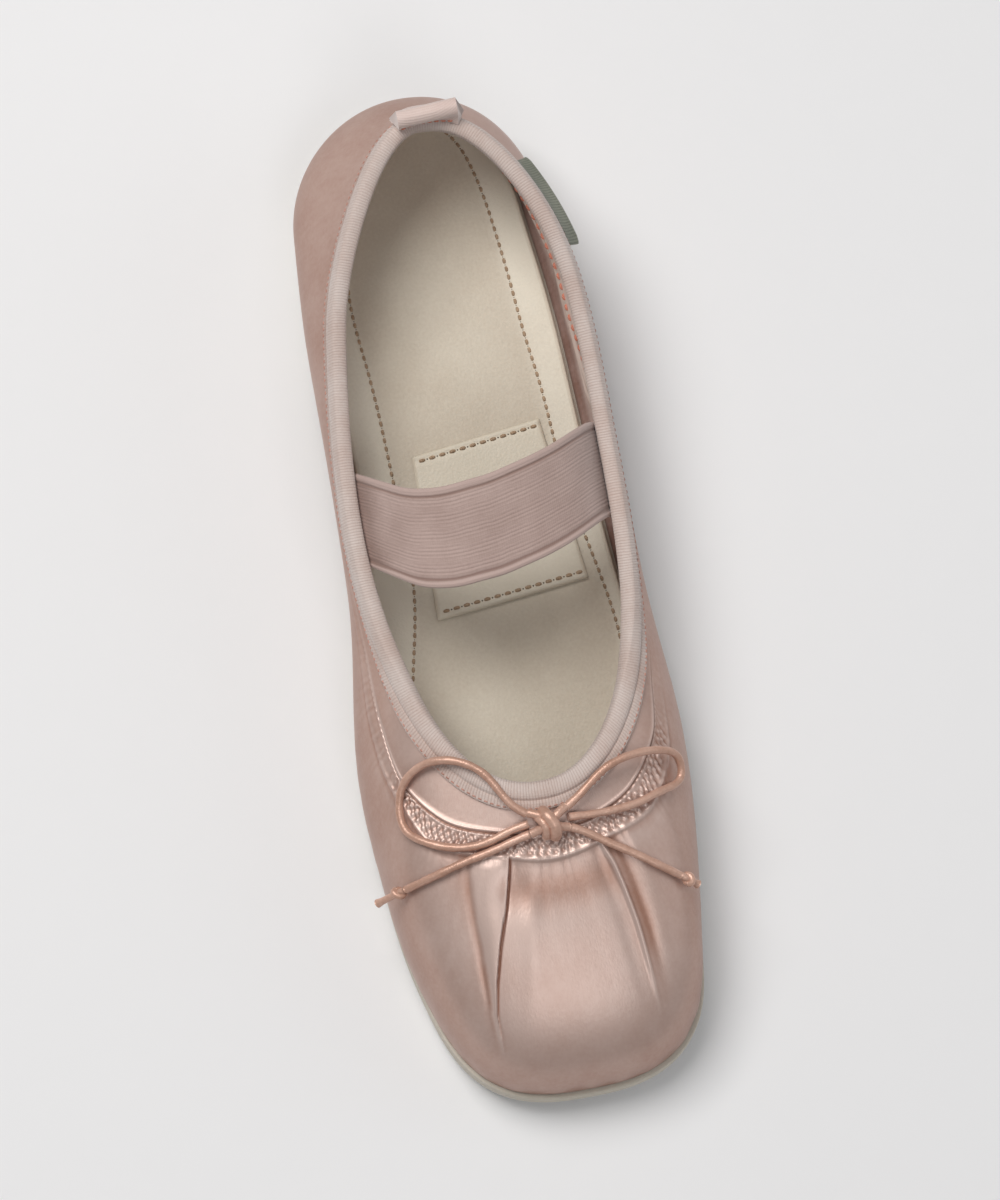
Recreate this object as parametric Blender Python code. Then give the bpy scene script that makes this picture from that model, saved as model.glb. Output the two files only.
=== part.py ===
"""A mary jane ballet flat for the left foot, empty and standing on its sole.

Metres, +Z up. The toe points to -Y, the inner side of the foot is -X and the outer side +X.
A station is a share of the sole's length, 0 at the back of the heel and 1 at the tip of the toe.
"""
import math

import bmesh
import bpy
import numpy as np

SOLE_LENGTH = 0.256
BALL_WIDTH = 0.080
HEEL_RISE = 0.0130
SOLE_AT_BALL = 0.0060
TOE_SPRING = 0.0035
ARCH_LIFT = 0.0042
HEEL_BREAST = 0.240
BALL_TREAD = (0.58, 0.80)
SOLE_ROUND = 0.0013

TOPLINE_BACK = 0.0595
TOPLINE_SIDE = 0.0422
TOPLINE_THROAT = 0.0440
THROAT_STATION = 0.722
COLLAR_BACK_INSET = 0.0155
WALL = 0.0017
FIT_GAP = 0.0003

BINDING_DEPTH = 0.0058
BINDING_THICKNESS = 0.0009
BINDING_CROWN = 0.0011
SEAM_STEP = 0.0005
SEAM_EASE = 0.0004
GATHER_WIDTH = 0.0050

INSOLE_THICKNESS = 0.0032
INSOLE_CUP = 0.0010
INSOLE_CLEARANCE = 0.0010
INSOLE_ROUND = 0.0010
PATCH_THICKNESS = 0.0008
PATCH_LENGTH = 0.0425
PATCH_STATION = 0.426
PATCH_SKEW = 0.0042

STRAP_WIDTH = 0.0245
STRAP_THICKNESS = 0.0012
STRAP_STATION = 0.430
STRAP_RISE = 0.0165
STRAP_LEAN = 0.0082
STRAP_SKEW = 0.0024
STRAP_TILT = 0.0060
STRAP_TUCK = 0.0160
STRAP_CLEARANCE = 0.0004
STRAP_LIP = 0.0012

TAB_WIDTH = 0.0160
TAB_SHIFT = 0.0030
TAB_TURN = 0.07
TAB_RISE = 0.0060
TAB_BACK = 0.0044
TAB_FRONT = 0.0004
TAB_LEG = 0.0011
TAB_GRIP = 0.0040
TAB_CLEARANCE = 0.0008

LABEL_LENGTH = 0.0220
LABEL_DROP = 0.0036
LABEL_THICKNESS = 0.0009
LABEL_STATION = 0.155
LABEL_FLARE = 0.0020
LABEL_GAP = 0.0004

CORD = 0.0020
KNOT_LENGTH = 0.0088
KNOT_DEPTH = 0.0072
KNOT_HEIGHT = 0.0046
END_KNOT = 0.0036
END_TIP = 0.0055

COLUMNS = 88
VAMP_ROWS = 8
ACROSS = 6

# Half widths of the feather line, as shares of BALL_WIDTH.
# station, inner side, outer side
FEATHER = (
    (-0.02, 0.350, 0.342),
    (0.10, 0.388, 0.350),
    (0.20, 0.402, 0.382),
    (0.32, 0.390, 0.402),
    (0.44, 0.394, 0.418),
    (0.56, 0.460, 0.452),
    (0.66, 0.515, 0.487),
    (0.76, 0.508, 0.477),
    (0.86, 0.466, 0.435),
    (0.94, 0.396, 0.400),
    (1.02, 0.366, 0.372),
)
HEEL_CAP, HEEL_POWER = 0.115, 2.1
TOE_CAP, TOE_POWER = 0.105, 2.7

# How far the sole's edge stands out past the upper; on the inner side it lies just inside.
# share of the girth, distance
MARGIN = (
    (0.00, 0.0010),
    (0.10, 0.0012),
    (0.50, 0.0013),
    (0.55, 0.0010),
    (0.62, -0.0002),
    (0.92, -0.0002),
    (1.00, 0.0010),
)

# Half widths of the opening's edge, as shares of BALL_WIDTH.
# station, inner side, outer side
TOPLINE = (
    (-0.02, 0.240, 0.250),
    (0.12, 0.292, 0.340),
    (0.25, 0.365, 0.410),
    (0.38, 0.417, 0.420),
    (0.50, 0.417, 0.412),
    (0.60, 0.374, 0.378),
    (0.72, 0.357, 0.340),
)
COLLAR_CAP = 0.180
COLLAR_POWER = (1.85, 2.4)  # inner side, outer side
THROAT_CAP, THROAT_POWER = 0.194, 2.15

# How each wall leaves the sole and reaches the opening, as shares of BALL_WIDTH.
# station, bulge past the sole, rise from the sole, run over the foot, drop from the opening
PROFILE = (
    (-0.02, 0.0880, 0.175, 0.056, 0.200),
    (0.10, 0.0800, 0.175, 0.056, 0.188),
    (0.25, 0.0860, 0.150, 0.050, 0.150),
    (0.42, 0.0800, 0.125, 0.044, 0.138),
    (0.56, 0.0660, 0.150, 0.062, 0.112),
    (0.66, 0.0500, 0.200, 0.112, 0.075),
    (0.78, 0.0350, 0.250, 0.250, 0.075),
    (0.90, 0.0210, 0.288, 0.450, 0.112),
    (1.00, 0.0120, 0.300, 0.525, 0.125),
    (1.05, 0.0120, 0.300, 0.525, 0.125),
)

# Where the collar band's seam runs, with the gathered vamp tucked under it.
# share of the girth, distance down from the opening's edge, share of the full step
SEAM = (
    (0.00, 0.0100, 0.0),
    (0.26, 0.0085, 0.0),
    (0.31, 0.0085, 0.2),
    (0.36, 0.0122, 1.0),
    (0.41, 0.0128, 1.0),
    (0.46, 0.0116, 1.0),
    (0.50, 0.0108, 1.0),
    (0.54, 0.0118, 1.0),
    (0.60, 0.0150, 1.0),
    (0.64, 0.0154, 1.0),
    (0.69, 0.0124, 0.9),
    (0.745, 0.0106, 0.4),
    (0.80, 0.0098, 0.0),
    (1.00, 0.0100, 0.0),
)

# The strap's arch: steeper at its outer end, leaning to the toe most near its inner end.
# share of the span from the inner end, share of the rise, share of the lean
ARCH = (
    (0.00, 0.00, 0.00),
    (0.06, 0.32, 0.46),
    (0.12, 0.54, 0.86),
    (0.20, 0.75, 1.26),
    (0.33, 0.94, 1.50),
    (0.46, 1.00, 1.48),
    (0.62, 0.98, 1.28),
    (0.77, 0.86, 0.95),
    (0.89, 0.62, 0.52),
    (0.96, 0.32, 0.20),
    (1.00, 0.00, 0.00),
)

# The pad over the footbed's waist, wider at its toe end.
# share of its length from the toe end, width, distance of its middle to the outer side
PATCH = (
    (0.0, 0.0395, 0.0050),
    (1.0, 0.0335, 0.0033),
)

# Stations where a wall column still stands straight across; past the last they fan over the vamp.
PAIRED = (0.10, 0.25, 0.42, 0.54)
PAIR_LEAD = 0.012
FAN_BLEND = 0.015


def spline(rows, column, at):
    """Natural cubic spline through one column of a table whose first column is the station."""
    table = np.array(rows, float)
    t = table[:, 0]
    v = table[:, column]
    n = len(t)
    h = np.diff(t)
    a = np.zeros((n, n))
    b = np.zeros(n)
    a[0, 0] = 1.0
    a[-1, -1] = 1.0
    for i in range(1, n - 1):
        a[i, i - 1] = h[i - 1]
        a[i, i] = 2 * (h[i - 1] + h[i])
        a[i, i + 1] = h[i]
        b[i] = 6 * ((v[i + 1] - v[i]) / h[i] - (v[i] - v[i - 1]) / h[i - 1])
    m = np.linalg.solve(a, b)
    at = np.clip(np.asarray(at, float), t[0], t[-1])
    i = np.clip(np.searchsorted(t, at, side="right") - 1, 0, n - 2)
    past = at - t[i]
    left = t[i + 1] - at
    return (
        m[i] * left**3 / (6 * h[i])
        + m[i + 1] * past**3 / (6 * h[i])
        + (v[i] / h[i] - m[i] * h[i] / 6) * left
        + (v[i + 1] / h[i] - m[i + 1] * h[i] / 6) * past
    )


def monotone(x, y, at):
    """Cubic through a few points that never turns back between them."""
    h = np.diff(x)
    d = np.diff(y) / h
    m = np.zeros(len(x))
    m[0] = d[0]
    m[-1] = d[-1]
    for i in range(1, len(x) - 1):
        if d[i - 1] * d[i] > 0:
            w1 = 2 * h[i] + h[i - 1]
            w2 = h[i] + 2 * h[i - 1]
            m[i] = (w1 + w2) / (w1 / d[i - 1] + w2 / d[i])
    i = np.clip(np.searchsorted(x, at, side="right") - 1, 0, len(x) - 2)
    t = (at - x[i]) / h[i]
    return (
        (2 * t**3 - 3 * t**2 + 1) * y[i]
        + (t**3 - 2 * t**2 + t) * h[i] * m[i]
        + (-2 * t**3 + 3 * t**2) * y[i + 1]
        + (t**3 - t**2) * h[i] * m[i + 1]
    )


def rounded(along, power):
    """Share of full width at a share of the way into a rounded end."""
    return np.maximum(0.0, 1 - np.clip(along, 0, 1) ** power) ** (1 / power)


def half_outline(rows, column, start, end, start_cap, end_cap, start_power, end_power):
    """Station, half width and length along the curve for one side, heel to toe."""
    k = np.linspace(0, 1, 401)
    s = start + (end - start) * 0.5 * (1 - np.cos(math.pi * k))
    w = spline(rows, column, s) * BALL_WIDTH
    w = w * rounded((start + start_cap - s) / start_cap, start_power)
    w = w * rounded((s - end + end_cap) / end_cap, end_power)
    length = np.concatenate([[0], np.cumsum(np.hypot(np.diff(s) * SOLE_LENGTH, np.diff(w)))])
    return s, w, length


def sole_top(s):
    """Height of the sole's upper face."""
    rows = (
        (-0.05, HEEL_RISE),
        (0.10, HEEL_RISE),
        (0.25, SOLE_AT_BALL + 0.89 * (HEEL_RISE - SOLE_AT_BALL)),
        (0.45, 0.5 * (HEEL_RISE + SOLE_AT_BALL)),
        (0.65, SOLE_AT_BALL + 0.04 * (HEEL_RISE - SOLE_AT_BALL)),
        (0.75, SOLE_AT_BALL),
        (0.88, SOLE_AT_BALL + 0.25 * TOE_SPRING),
        (1.00, SOLE_AT_BALL + TOE_SPRING),
        (1.05, SOLE_AT_BALL + 1.3 * TOE_SPRING),
    )
    return spline(rows, 1, s)


def tread(s):
    """Height of the sole's underside: flat heel, breast, arch, flat ball, then the toe's spring."""
    s = np.asarray(s, float)
    ball, toe = BALL_TREAD
    k = np.clip((s - HEEL_BREAST) / (ball - HEEL_BREAST), 0, 1)
    arch = ARCH_LIFT * np.minimum(1, k / 0.10) * (0.5 + 0.5 * np.cos(math.pi * np.clip((k - 0.3) / 0.7, 0, 1)))
    lift = TOE_SPRING * (np.clip((s - toe) / (1 - toe), 0, 1.2)) ** 1.8
    return arch + lift


def topline_height(s):
    """Height of the opening's edge above the floor."""
    rows = (
        (-0.05, 0.0, 1.00),
        (0.02, 0.0, 1.00),
        (0.12, 0.0, 0.77),
        (0.26, 0.0, 0.26),
        (0.42, 0.0, 0.00),
        (0.56, -0.5, 0.00),
        (0.64, 0.3, 0.00),
        (0.69, 0.65, 0.00),
        (0.72, 1.0, 0.00),
    )
    front = spline(rows, 1, s) * (TOPLINE_THROAT - TOPLINE_SIDE)
    back = spline(rows, 2, s) * (TOPLINE_BACK - TOPLINE_SIDE)
    return TOPLINE_SIDE + front + back


def side(column, sign, k):
    """Feather point, edge point, profile and station for shares k of one side, heel to toe."""
    fs, fw, fa = half_outline(FEATHER, column, 0.0, 1.0, HEEL_CAP, TOE_CAP, HEEL_POWER, TOE_POWER)
    start = COLLAR_BACK_INSET / SOLE_LENGTH
    ts, tw, ta = half_outline(
        TOPLINE, column, start, THROAT_STATION, COLLAR_CAP, THROAT_CAP, COLLAR_POWER[column - 1], THROAT_POWER
    )
    below = [0.0] + [float(np.interp(p, fs, fa)) for p in PAIRED] + [fa[-1]]
    above = [0.0] + [float(np.interp(p + PAIR_LEAD, ts, ta)) for p in PAIRED] + [ta[-1]]
    at = k * fa[-1]
    at_top = monotone(np.array(below), np.array(above), at)
    s = np.interp(at, fa, fs)
    w = np.interp(at, fa, fw)
    s_top = np.interp(at_top, ta, ts)
    w_top = np.interp(at_top, ta, tw)
    feather = np.stack([sign * w, (0.5 - s) * SOLE_LENGTH, sole_top(s) + FIT_GAP], 1)
    edge = np.stack([sign * w_top, (0.5 - s_top) * SOLE_LENGTH, topline_height(s_top)], 1)
    profile = np.stack([spline(PROFILE, c, s) for c in (1, 2, 3, 4)], 1) * BALL_WIDTH
    return feather, edge, profile, s


def columns(g):
    """Wall columns at shares g of the girth: 0 at the heel's back, 0.5 at the toe, outer side first."""
    g = np.mod(np.asarray(g, float), 1.0)
    outer = side(2, 1.0, np.minimum(g, 0.5) * 2)
    inner = side(1, -1.0, np.minimum(1 - g, 0.5) * 2)
    pick = g <= 0.5
    return [np.where(pick[:, None], a, b) for a, b in zip(outer[:3], inner[:3])] + [
        np.where(pick, outer[3], inner[3])
    ]


def plan_normals(g):
    """Horizontal outward direction of the feather line."""
    step = 0.002
    along = (columns(np.asarray(g) + step)[0] - columns(np.asarray(g) - step)[0])[:, :2]
    out = np.stack([-along[:, 1], along[:, 0], np.zeros(len(along))], 1)
    return out / np.linalg.norm(out, axis=1)[:, None]


def wall(g, down):
    """Outer surface of the upper: girth shares g, and per column the distances down from its edge."""
    g = np.asarray(g, float)
    feather, edge, profile, _ = columns(g)
    out = plan_normals(g)
    up = np.array([0.0, 0.0, 1.0])
    over = (feather - edge) * [1, 1, 0] + out * FAN_BLEND
    over = over / np.linalg.norm(over, axis=1)[:, None]
    low = feather + out * profile[:, 0:1] + up * profile[:, 1:2]
    high = edge + over * profile[:, 2:3] - up * profile[:, 3:4]
    down = np.broadcast_to(down, (len(g), np.shape(down)[-1]))
    fine = np.linspace(0, 1, 61)
    points = np.zeros(down.shape + (3,))
    for j in range(len(g)):
        ends = (edge[j], high[j], low[j], feather[j])
        curve = bezier(ends, fine)
        length = np.concatenate([[0], np.cumsum(np.linalg.norm(np.diff(curve, axis=0), axis=1))])
        points[j] = bezier(ends, np.interp(down[j], length, fine))
    return points


def bezier(ends, t):
    """Points of a cubic curve from its first end point to its last."""
    t = t[:, None]
    return ends[0] * (1 - t) ** 3 + 3 * ends[1] * t * (1 - t) ** 2 + 3 * ends[2] * t**2 * (1 - t) + ends[3] * t**3


def column_length(g):
    """Length of each wall column from the edge of the opening to the feather line."""
    fine = np.linspace(0, 0.2, 401)
    points = wall(g, fine)
    return np.linalg.norm(np.diff(points, axis=1), axis=2).sum(1)


def binding_drop(g):
    """Distance down each column that lies one binding depth square in from the opening's edge."""
    g = np.asarray(g, float)
    first = wall(g, np.array([[0.0, 0.5 * BINDING_DEPTH]]))
    down = first[:, 1] - first[:, 0]
    round_it = columns(g + 0.002)[1] - columns(g - 0.002)[1]
    turn = np.linalg.norm(np.cross(down, round_it), axis=1)
    turn = turn / np.linalg.norm(down, axis=1) / np.linalg.norm(round_it, axis=1)
    return BINDING_DEPTH / np.maximum(turn, 0.35)


def seam(g):
    """Distance of the collar band's seam down each column, and the depth the vamp steps in there."""
    table = np.array(SEAM)
    g = np.mod(np.asarray(g, float), 1.0)
    return monotone(table[:, 0], table[:, 1], g), monotone(table[:, 0], table[:, 2], g) * SEAM_STEP


def wall_frames(g, down):
    """Points of the outer surface with their outward normals and their directions down the wall."""
    g = np.asarray(g, float)
    down = np.broadcast_to(down, (len(g), np.shape(down)[-1])).astype(float)
    full = column_length(g)[:, None]
    step = 0.0006
    low = np.minimum(down + step, full)
    high = np.maximum(down - step, 0)
    slope = wall(g, low) - wall(g, high)
    round_it = wall(g + 0.002, down) - wall(g - 0.002, down)
    slope = slope / np.linalg.norm(slope, axis=2)[:, :, None]
    normal = np.cross(round_it, slope)
    normal = normal / np.linalg.norm(normal, axis=2)[:, :, None]
    return wall(g, down), normal, slope


def material(name, colour, roughness):
    """A plain surface of one colour."""
    m = bpy.data.materials.new(name)
    m.use_nodes = True
    shader = m.node_tree.nodes["Principled BSDF"]
    shader.inputs["Base Color"].default_value = (*colour, 1)
    shader.inputs["Roughness"].default_value = roughness
    shader.inputs["Metallic"].default_value = 0.0
    return m


def add(name, data, skin):
    """Put a mesh or curve into the scene under the shoe's own empty."""
    piece = bpy.data.objects.new(name, data)
    data.materials.append(skin)
    bpy.context.collection.objects.link(piece)
    piece.parent = shoe
    return piece


def solid(name, points, faces, skin, sharp=40):
    """One closed mesh piece from points and faces, faces pointing out."""
    bm = bmesh.new()
    corners = [bm.verts.new(p) for p in points]
    for face in faces:
        bm.faces.new([corners[i] for i in face])
    bmesh.ops.recalc_face_normals(bm, faces=bm.faces)
    bmesh.ops.triangulate(bm, faces=bm.faces)
    mesh = bpy.data.meshes.new(name)
    bm.to_mesh(mesh)
    bm.free()
    mesh.shade_smooth()
    mesh.set_sharp_from_angle(angle=math.radians(sharp))
    return add(name, mesh, skin)


def grid_faces(rows, count, wrap_rows, wrap_count):
    """Quads over rows of count points each."""
    faces = []
    for r in range(rows if wrap_rows else rows - 1):
        for c in range(count if wrap_count else count - 1):
            d = (c + 1) % count
            n = (r + 1) % rows
            faces.append((r * count + c, r * count + d, n * count + d, n * count + c))
    return faces


def slab(name, rings, top, bottom, skin, sharp=40):
    """A flat-lying piece: rings from its bottom edge to its top edge, closed by two crossed faces.

    top and bottom give the height at a point from its y and its share across, -1 to 1.
    """
    count = rings.shape[1]
    half = count // 2
    points = [p for ring in rings for p in ring]
    faces = grid_faces(len(rings), count, False, True)
    for r, height in ((0, bottom), (len(rings) - 1, top)):
        base = r * count
        rows = [[base]]
        for i in range(1, half):
            a = np.array(points[base + count - i])
            b = np.array(points[base + i])
            row = [base + count - i]
            for c in range(1, ACROSS):
                t = c / ACROSS
                p = a * (1 - t) + b * t
                row.append(len(points))
                points.append((p[0], p[1], height(p[1], 2 * t - 1)))
            row.append(base + i)
            rows.append(row)
        rows.append([base + half])
        for a, b in zip(rows[:-1], rows[1:]):
            if len(a) == 1:
                faces += [(a[0], b[c], b[c + 1]) for c in range(len(b) - 1)]
            elif len(b) == 1:
                faces += [(b[0], a[c + 1], a[c]) for c in range(len(a) - 1)]
            else:
                faces += [(a[c], b[c], b[c + 1], a[c + 1]) for c in range(len(a) - 1)]
    return solid(name, points, faces, skin, sharp)


def turned(name, origin, axis, profile, flat, skin, sides=10):
    """A turned piece: profile rows are distance along the axis and radius; flat squashes it vertically."""
    axis = np.array(axis, float) / np.linalg.norm(axis)
    across = np.cross([0, 0, 1.0], axis)
    across = across / np.linalg.norm(across)
    third = np.cross(axis, across)
    points = []
    for along, radius in profile:
        for k in range(sides):
            a = 2 * math.pi * k / sides
            p = np.array(origin) + axis * along + across * radius * math.cos(a)
            points.append(p + third * radius * flat * math.sin(a))
    faces = grid_faces(len(profile), sides, False, True)
    faces.append(tuple(range(sides)))
    faces.append(tuple(range((len(profile) - 1) * sides, len(profile) * sides)))
    return solid(name, points, faces, skin)


def route(points, step):
    """A smooth curve through hand-chosen points, read at even steps."""
    p = np.array(points, float)
    t = np.concatenate([[0], np.cumsum(np.linalg.norm(np.diff(p, axis=0), axis=1))])
    rows = np.column_stack([t, p])
    fine = np.linspace(0, t[-1], 400)
    curve = np.stack([spline(rows, c, fine) for c in (1, 2, 3)], 1)
    length = np.concatenate([[0], np.cumsum(np.linalg.norm(np.diff(curve, axis=0), axis=1))])
    at = np.linspace(0, length[-1], int(round(length[-1] / step)) + 1)
    return np.stack([np.interp(at, length, curve[:, c]) for c in range(3)], 1)


def cord(name, points, skin):
    """A round cord along a route."""
    path = route(points, 2.2 * CORD)
    curve = bpy.data.curves.new(name, "CURVE")
    curve.dimensions = "3D"
    curve.bevel_depth = CORD / 2
    curve.bevel_resolution = 2
    curve.use_fill_caps = True
    line = curve.splines.new("POLY")
    line.points.add(len(path) - 1)
    for point, place in zip(line.points, path):
        point.co = (*place, 1)
    return add(name, curve, skin)


for old in list(bpy.data.objects):
    bpy.data.objects.remove(old, do_unlink=True)

shoe = bpy.data.objects.new("shoe", None)
bpy.context.collection.objects.link(shoe)

satin = material("upper", (0.69, 0.51, 0.46), 0.38)
rubber = material("outsole", (0.76, 0.72, 0.62), 0.60)
footbed = material("insole", (0.60, 0.56, 0.47), 0.62)
pad = material("insole_patch", (0.58, 0.54, 0.45), 0.60)
tape = material("topline_binding", (0.72, 0.60, 0.54), 0.58)
elastic = material("elastic_strap", (0.52, 0.36, 0.32), 0.75)
ribbon = material("heel_tab", (0.72, 0.58, 0.53), 0.42)
woven = material("side_label", (0.20, 0.22, 0.18), 0.80)
cording = material("bow_cord", (0.58, 0.32, 0.25), 0.50)

girth = np.arange(COLUMNS) / COLUMNS
feather, _, _, stations = columns(girth)
outward = plan_normals(girth)


def ring(inset, height):
    """The feather line moved in by inset, at a height given for each column."""
    line = feather - outward * np.broadcast_to(inset, COLUMNS)[:, None]
    line[:, 2] = height
    return line


# The outsole: one rubber unit with a low heel block, an arch, a flat ball and a sprung toe.
under = tread(stations)
upper_face = sole_top(stations)
margin = monotone(np.array(MARGIN)[:, 0], np.array(MARGIN)[:, 1], girth)
outsole_rings = np.stack([
    ring(SOLE_ROUND - margin, under),
    ring(0.25 * SOLE_ROUND - margin, under + 0.35 * SOLE_ROUND),
    ring(-margin, under + SOLE_ROUND),
    ring(-margin, upper_face - 0.5 * SOLE_ROUND),
    ring(0.4 * SOLE_ROUND - margin, upper_face),
])
slab(
    "outsole",
    outsole_rings,
    lambda y, u: float(sole_top(0.5 - y / SOLE_LENGTH)),
    lambda y, u: float(tread(0.5 - y / SOLE_LENGTH)),
    rubber,
)

# The upper: one hollow wall, open at the collar and underneath. Past the collar band's seam the
# outside dips by the seam's step and eases back over the gathers.
full_length = column_length(girth)[:, None]
drop = binding_drop(girth)[:, None]
seam_down, seam_step = (v[:, None] for v in seam(girth))
eased = seam_down + GATHER_WIDTH
share = np.linspace(0, 1, VAMP_ROWS)[None, :]
rows_down = np.concatenate([
    np.zeros((COLUMNS, 1)),
    drop,
    seam_down - SEAM_EASE,
    seam_down + SEAM_EASE,
    eased + (full_length - eased) * share,
], axis=1)
past_seam = np.clip((rows_down - seam_down) / GATHER_WIDTH, 0, 1)
dip = np.where(rows_down > seam_down, seam_step * (1 - past_seam), 0.0)
surface, normal, slope = wall_frames(girth, rows_down)
outside = surface - normal * dip[:, :, None]
inside = surface - normal * WALL
inside[:, -1, 2] = outside[:, -1, 2]
upper_rows = np.concatenate([outside, inside[:, ::-1]], axis=1)
solid(
    "upper",
    upper_rows.reshape(-1, 3),
    grid_faces(COLUMNS, upper_rows.shape[1], True, True),
    satin,
)

# The binding: a folded tape over the edge of the opening.
rim, rim_normal, rim_slope = outside[:, 0], normal[:, 0], slope[:, 0]
foot, foot_normal = outside[:, 1], normal[:, 1]
over = FIT_GAP + BINDING_THICKNESS
back_in = WALL + FIT_GAP
mid = 0.5 * WALL
top = FIT_GAP + BINDING_CROWN
binding_rows = np.stack([
    foot + foot_normal * over,
    rim + rim_normal * over,
    rim + rim_normal * (0.6 * (over + mid) - mid) - rim_slope * (0.85 * top),
    rim - rim_normal * mid - rim_slope * top,
    rim - rim_normal * (0.6 * (over + mid) + mid) - rim_slope * (0.85 * top),
    rim - rim_normal * (back_in + BINDING_THICKNESS),
    foot - foot_normal * (back_in + BINDING_THICKNESS),
    foot - foot_normal * back_in,
    rim - rim_normal * back_in - rim_slope * FIT_GAP,
    rim + rim_normal * FIT_GAP - rim_slope * FIT_GAP,
    foot + foot_normal * FIT_GAP,
], axis=1)
solid(
    "topline_binding",
    binding_rows.reshape(-1, 3),
    grid_faces(COLUMNS, binding_rows.shape[1], True, True),
    tape,
)

# The insole: a cupped footbed on the sole, inside the walls.
inset = WALL + INSOLE_CLEARANCE
bed = upper_face + FIT_GAP
insole_rings = np.stack([
    ring(inset, bed),
    ring(inset, bed + INSOLE_THICKNESS + 0.5 * INSOLE_CUP),
    ring(inset + INSOLE_ROUND, bed + INSOLE_THICKNESS + INSOLE_CUP),
])


def insole_top(y, u):
    """Height of the footbed's upper face at a share u across it."""
    return float(sole_top(0.5 - y / SOLE_LENGTH)) + FIT_GAP + INSOLE_THICKNESS + INSOLE_CUP * abs(u) ** 2.5


slab(
    "insole",
    insole_rings,
    insole_top,
    lambda y, u: float(sole_top(0.5 - y / SOLE_LENGTH)) + FIT_GAP,
    footbed,
)

# The pad stitched across the footbed's waist, with its outer side further back.
patch_y = (0.5 - PATCH_STATION) * SOLE_LENGTH
patch_rows = []
for v in np.linspace(0, 1, 7):
    width = PATCH[0][1] * (1 - v) + PATCH[1][1] * v
    middle = PATCH[0][2] * (1 - v) + PATCH[1][2] * v
    line = []
    for u in np.linspace(-0.5, 0.5, 5):
        x = middle + u * width
        y = patch_y + (v - 0.5) * PATCH_LENGTH + u * PATCH_SKEW
        line.append((x, y, insole_top(y, x / (0.39 * BALL_WIDTH)) + FIT_GAP))
    patch_rows.append(line)
low_face = np.array(patch_rows)
high_face = low_face + [0, 0, PATCH_THICKNESS]
loop = np.concatenate([low_face, high_face[:, ::-1]], axis=1)
patch_faces = grid_faces(7, 10, False, True)
for r in (0, 6):
    patch_faces += [(r * 10 + c, r * 10 + c + 1, r * 10 + 8 - c, r * 10 + 9 - c) for c in range(4)]
solid("insole_patch", loop.reshape(-1, 3), patch_faces, pad)


def girth_at(station, outer):
    """Girth share of the wall column whose edge stands at a station, on one side."""
    near = np.linspace(0.02, 0.45, 200)
    g = near if outer else 1 - near
    edge = columns(g)[1]
    return float(np.interp(station, 0.5 - edge[:, 1] / SOLE_LENGTH, g))


# The elastic strap: an arch sewn inside both walls, its outer end further back.
shape = np.array(ARCH)
strap_lines = []
for edge_share in (-0.5, 0.0, 0.5):
    place = STRAP_STATION + edge_share * STRAP_WIDTH / SOLE_LENGTH
    ends = []
    for outer in (False, True):
        g = np.array([girth_at(place - outer * STRAP_SKEW / SOLE_LENGTH, outer)])
        depths = np.array([[STRAP_LIP, 0.5 * BINDING_DEPTH, BINDING_DEPTH, 0.6 * STRAP_TUCK, STRAP_TUCK]])
        p, n, _ = wall_frames(g, depths)
        inner = WALL + FIT_GAP + BINDING_THICKNESS + STRAP_CLEARANCE + 0.5 * STRAP_THICKNESS
        ends.append((p - n * inner)[0])
    a, b = ends[0][0], ends[1][0]
    rise = STRAP_RISE - edge_share * STRAP_TILT
    arch = []
    for k in range(1, 18):
        t = 0.5 - 0.5 * math.cos(math.pi * k / 18)
        risen, leant = (float(monotone(shape[:, 0], shape[:, c], t)) for c in (1, 2))
        arch.append(a * (1 - t) + b * t + np.array([0, -STRAP_LEAN * leant, rise * risen]))
    strap_lines.append(np.concatenate([ends[0][::-1], arch, ends[1]]))
strap = np.stack(strap_lines, axis=1)
along = np.gradient(strap, axis=0)
across = np.gradient(strap, axis=1)
face = np.cross(along, across)
face = face / np.linalg.norm(face, axis=2)[:, :, None] * (0.5 * STRAP_THICKNESS)
strap_loop = np.concatenate([strap + face, (strap - face)[:, ::-1]], axis=1)
strap_faces = grid_faces(len(strap), 6, False, True)
for r in (0, len(strap) - 1):
    strap_faces += [(r * 6, r * 6 + 1, r * 6 + 4, r * 6 + 5), (r * 6 + 1, r * 6 + 2, r * 6 + 3, r * 6 + 4)]
solid("elastic_strap", strap_loop.reshape(-1, 3), strap_faces, elastic)

# The heel tab: a folded ribbon sewn outside the binding at the back, a little to the outer side of
# the middle, standing over the binding's crown.
near = np.linspace(-0.06, 0.06, 61)
back_edge = columns(near)[1]
back_arc = np.concatenate([[0], np.cumsum(np.linalg.norm(np.diff(back_edge, axis=0), axis=1))])
back_arc = back_arc - np.interp(0.0, near, back_arc)
tab_girth = np.interp(TAB_SHIFT + np.linspace(-0.5, 0.5, 7) * TAB_WIDTH, back_arc, near)
p, n, t = (v[:, 0] for v in wall_frames(tab_girth, np.array([[0.0]])))
leg = over + TAB_CLEARANCE
base = top + FIT_GAP
tab_section = (
    (leg, -TAB_GRIP),
    (leg + TAB_LEG, -TAB_GRIP),
    (leg + TAB_LEG, 0.0),
    (TAB_BACK, base + 0.55 * TAB_RISE),
    (0.94 * TAB_BACK, base + 0.88 * TAB_RISE),
    (0.55 * TAB_BACK, base + TAB_RISE),
    (-0.3 * TAB_FRONT, base + 0.62 * TAB_RISE),
    (-TAB_FRONT, base + 0.15 * TAB_RISE),
    (-TAB_FRONT, base),
    (leg, base),
)
rise = -t[3]
turned_back = p[:, 1].mean() + TAB_TURN * (p[:, 0] - p[:, 0].mean())
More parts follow.
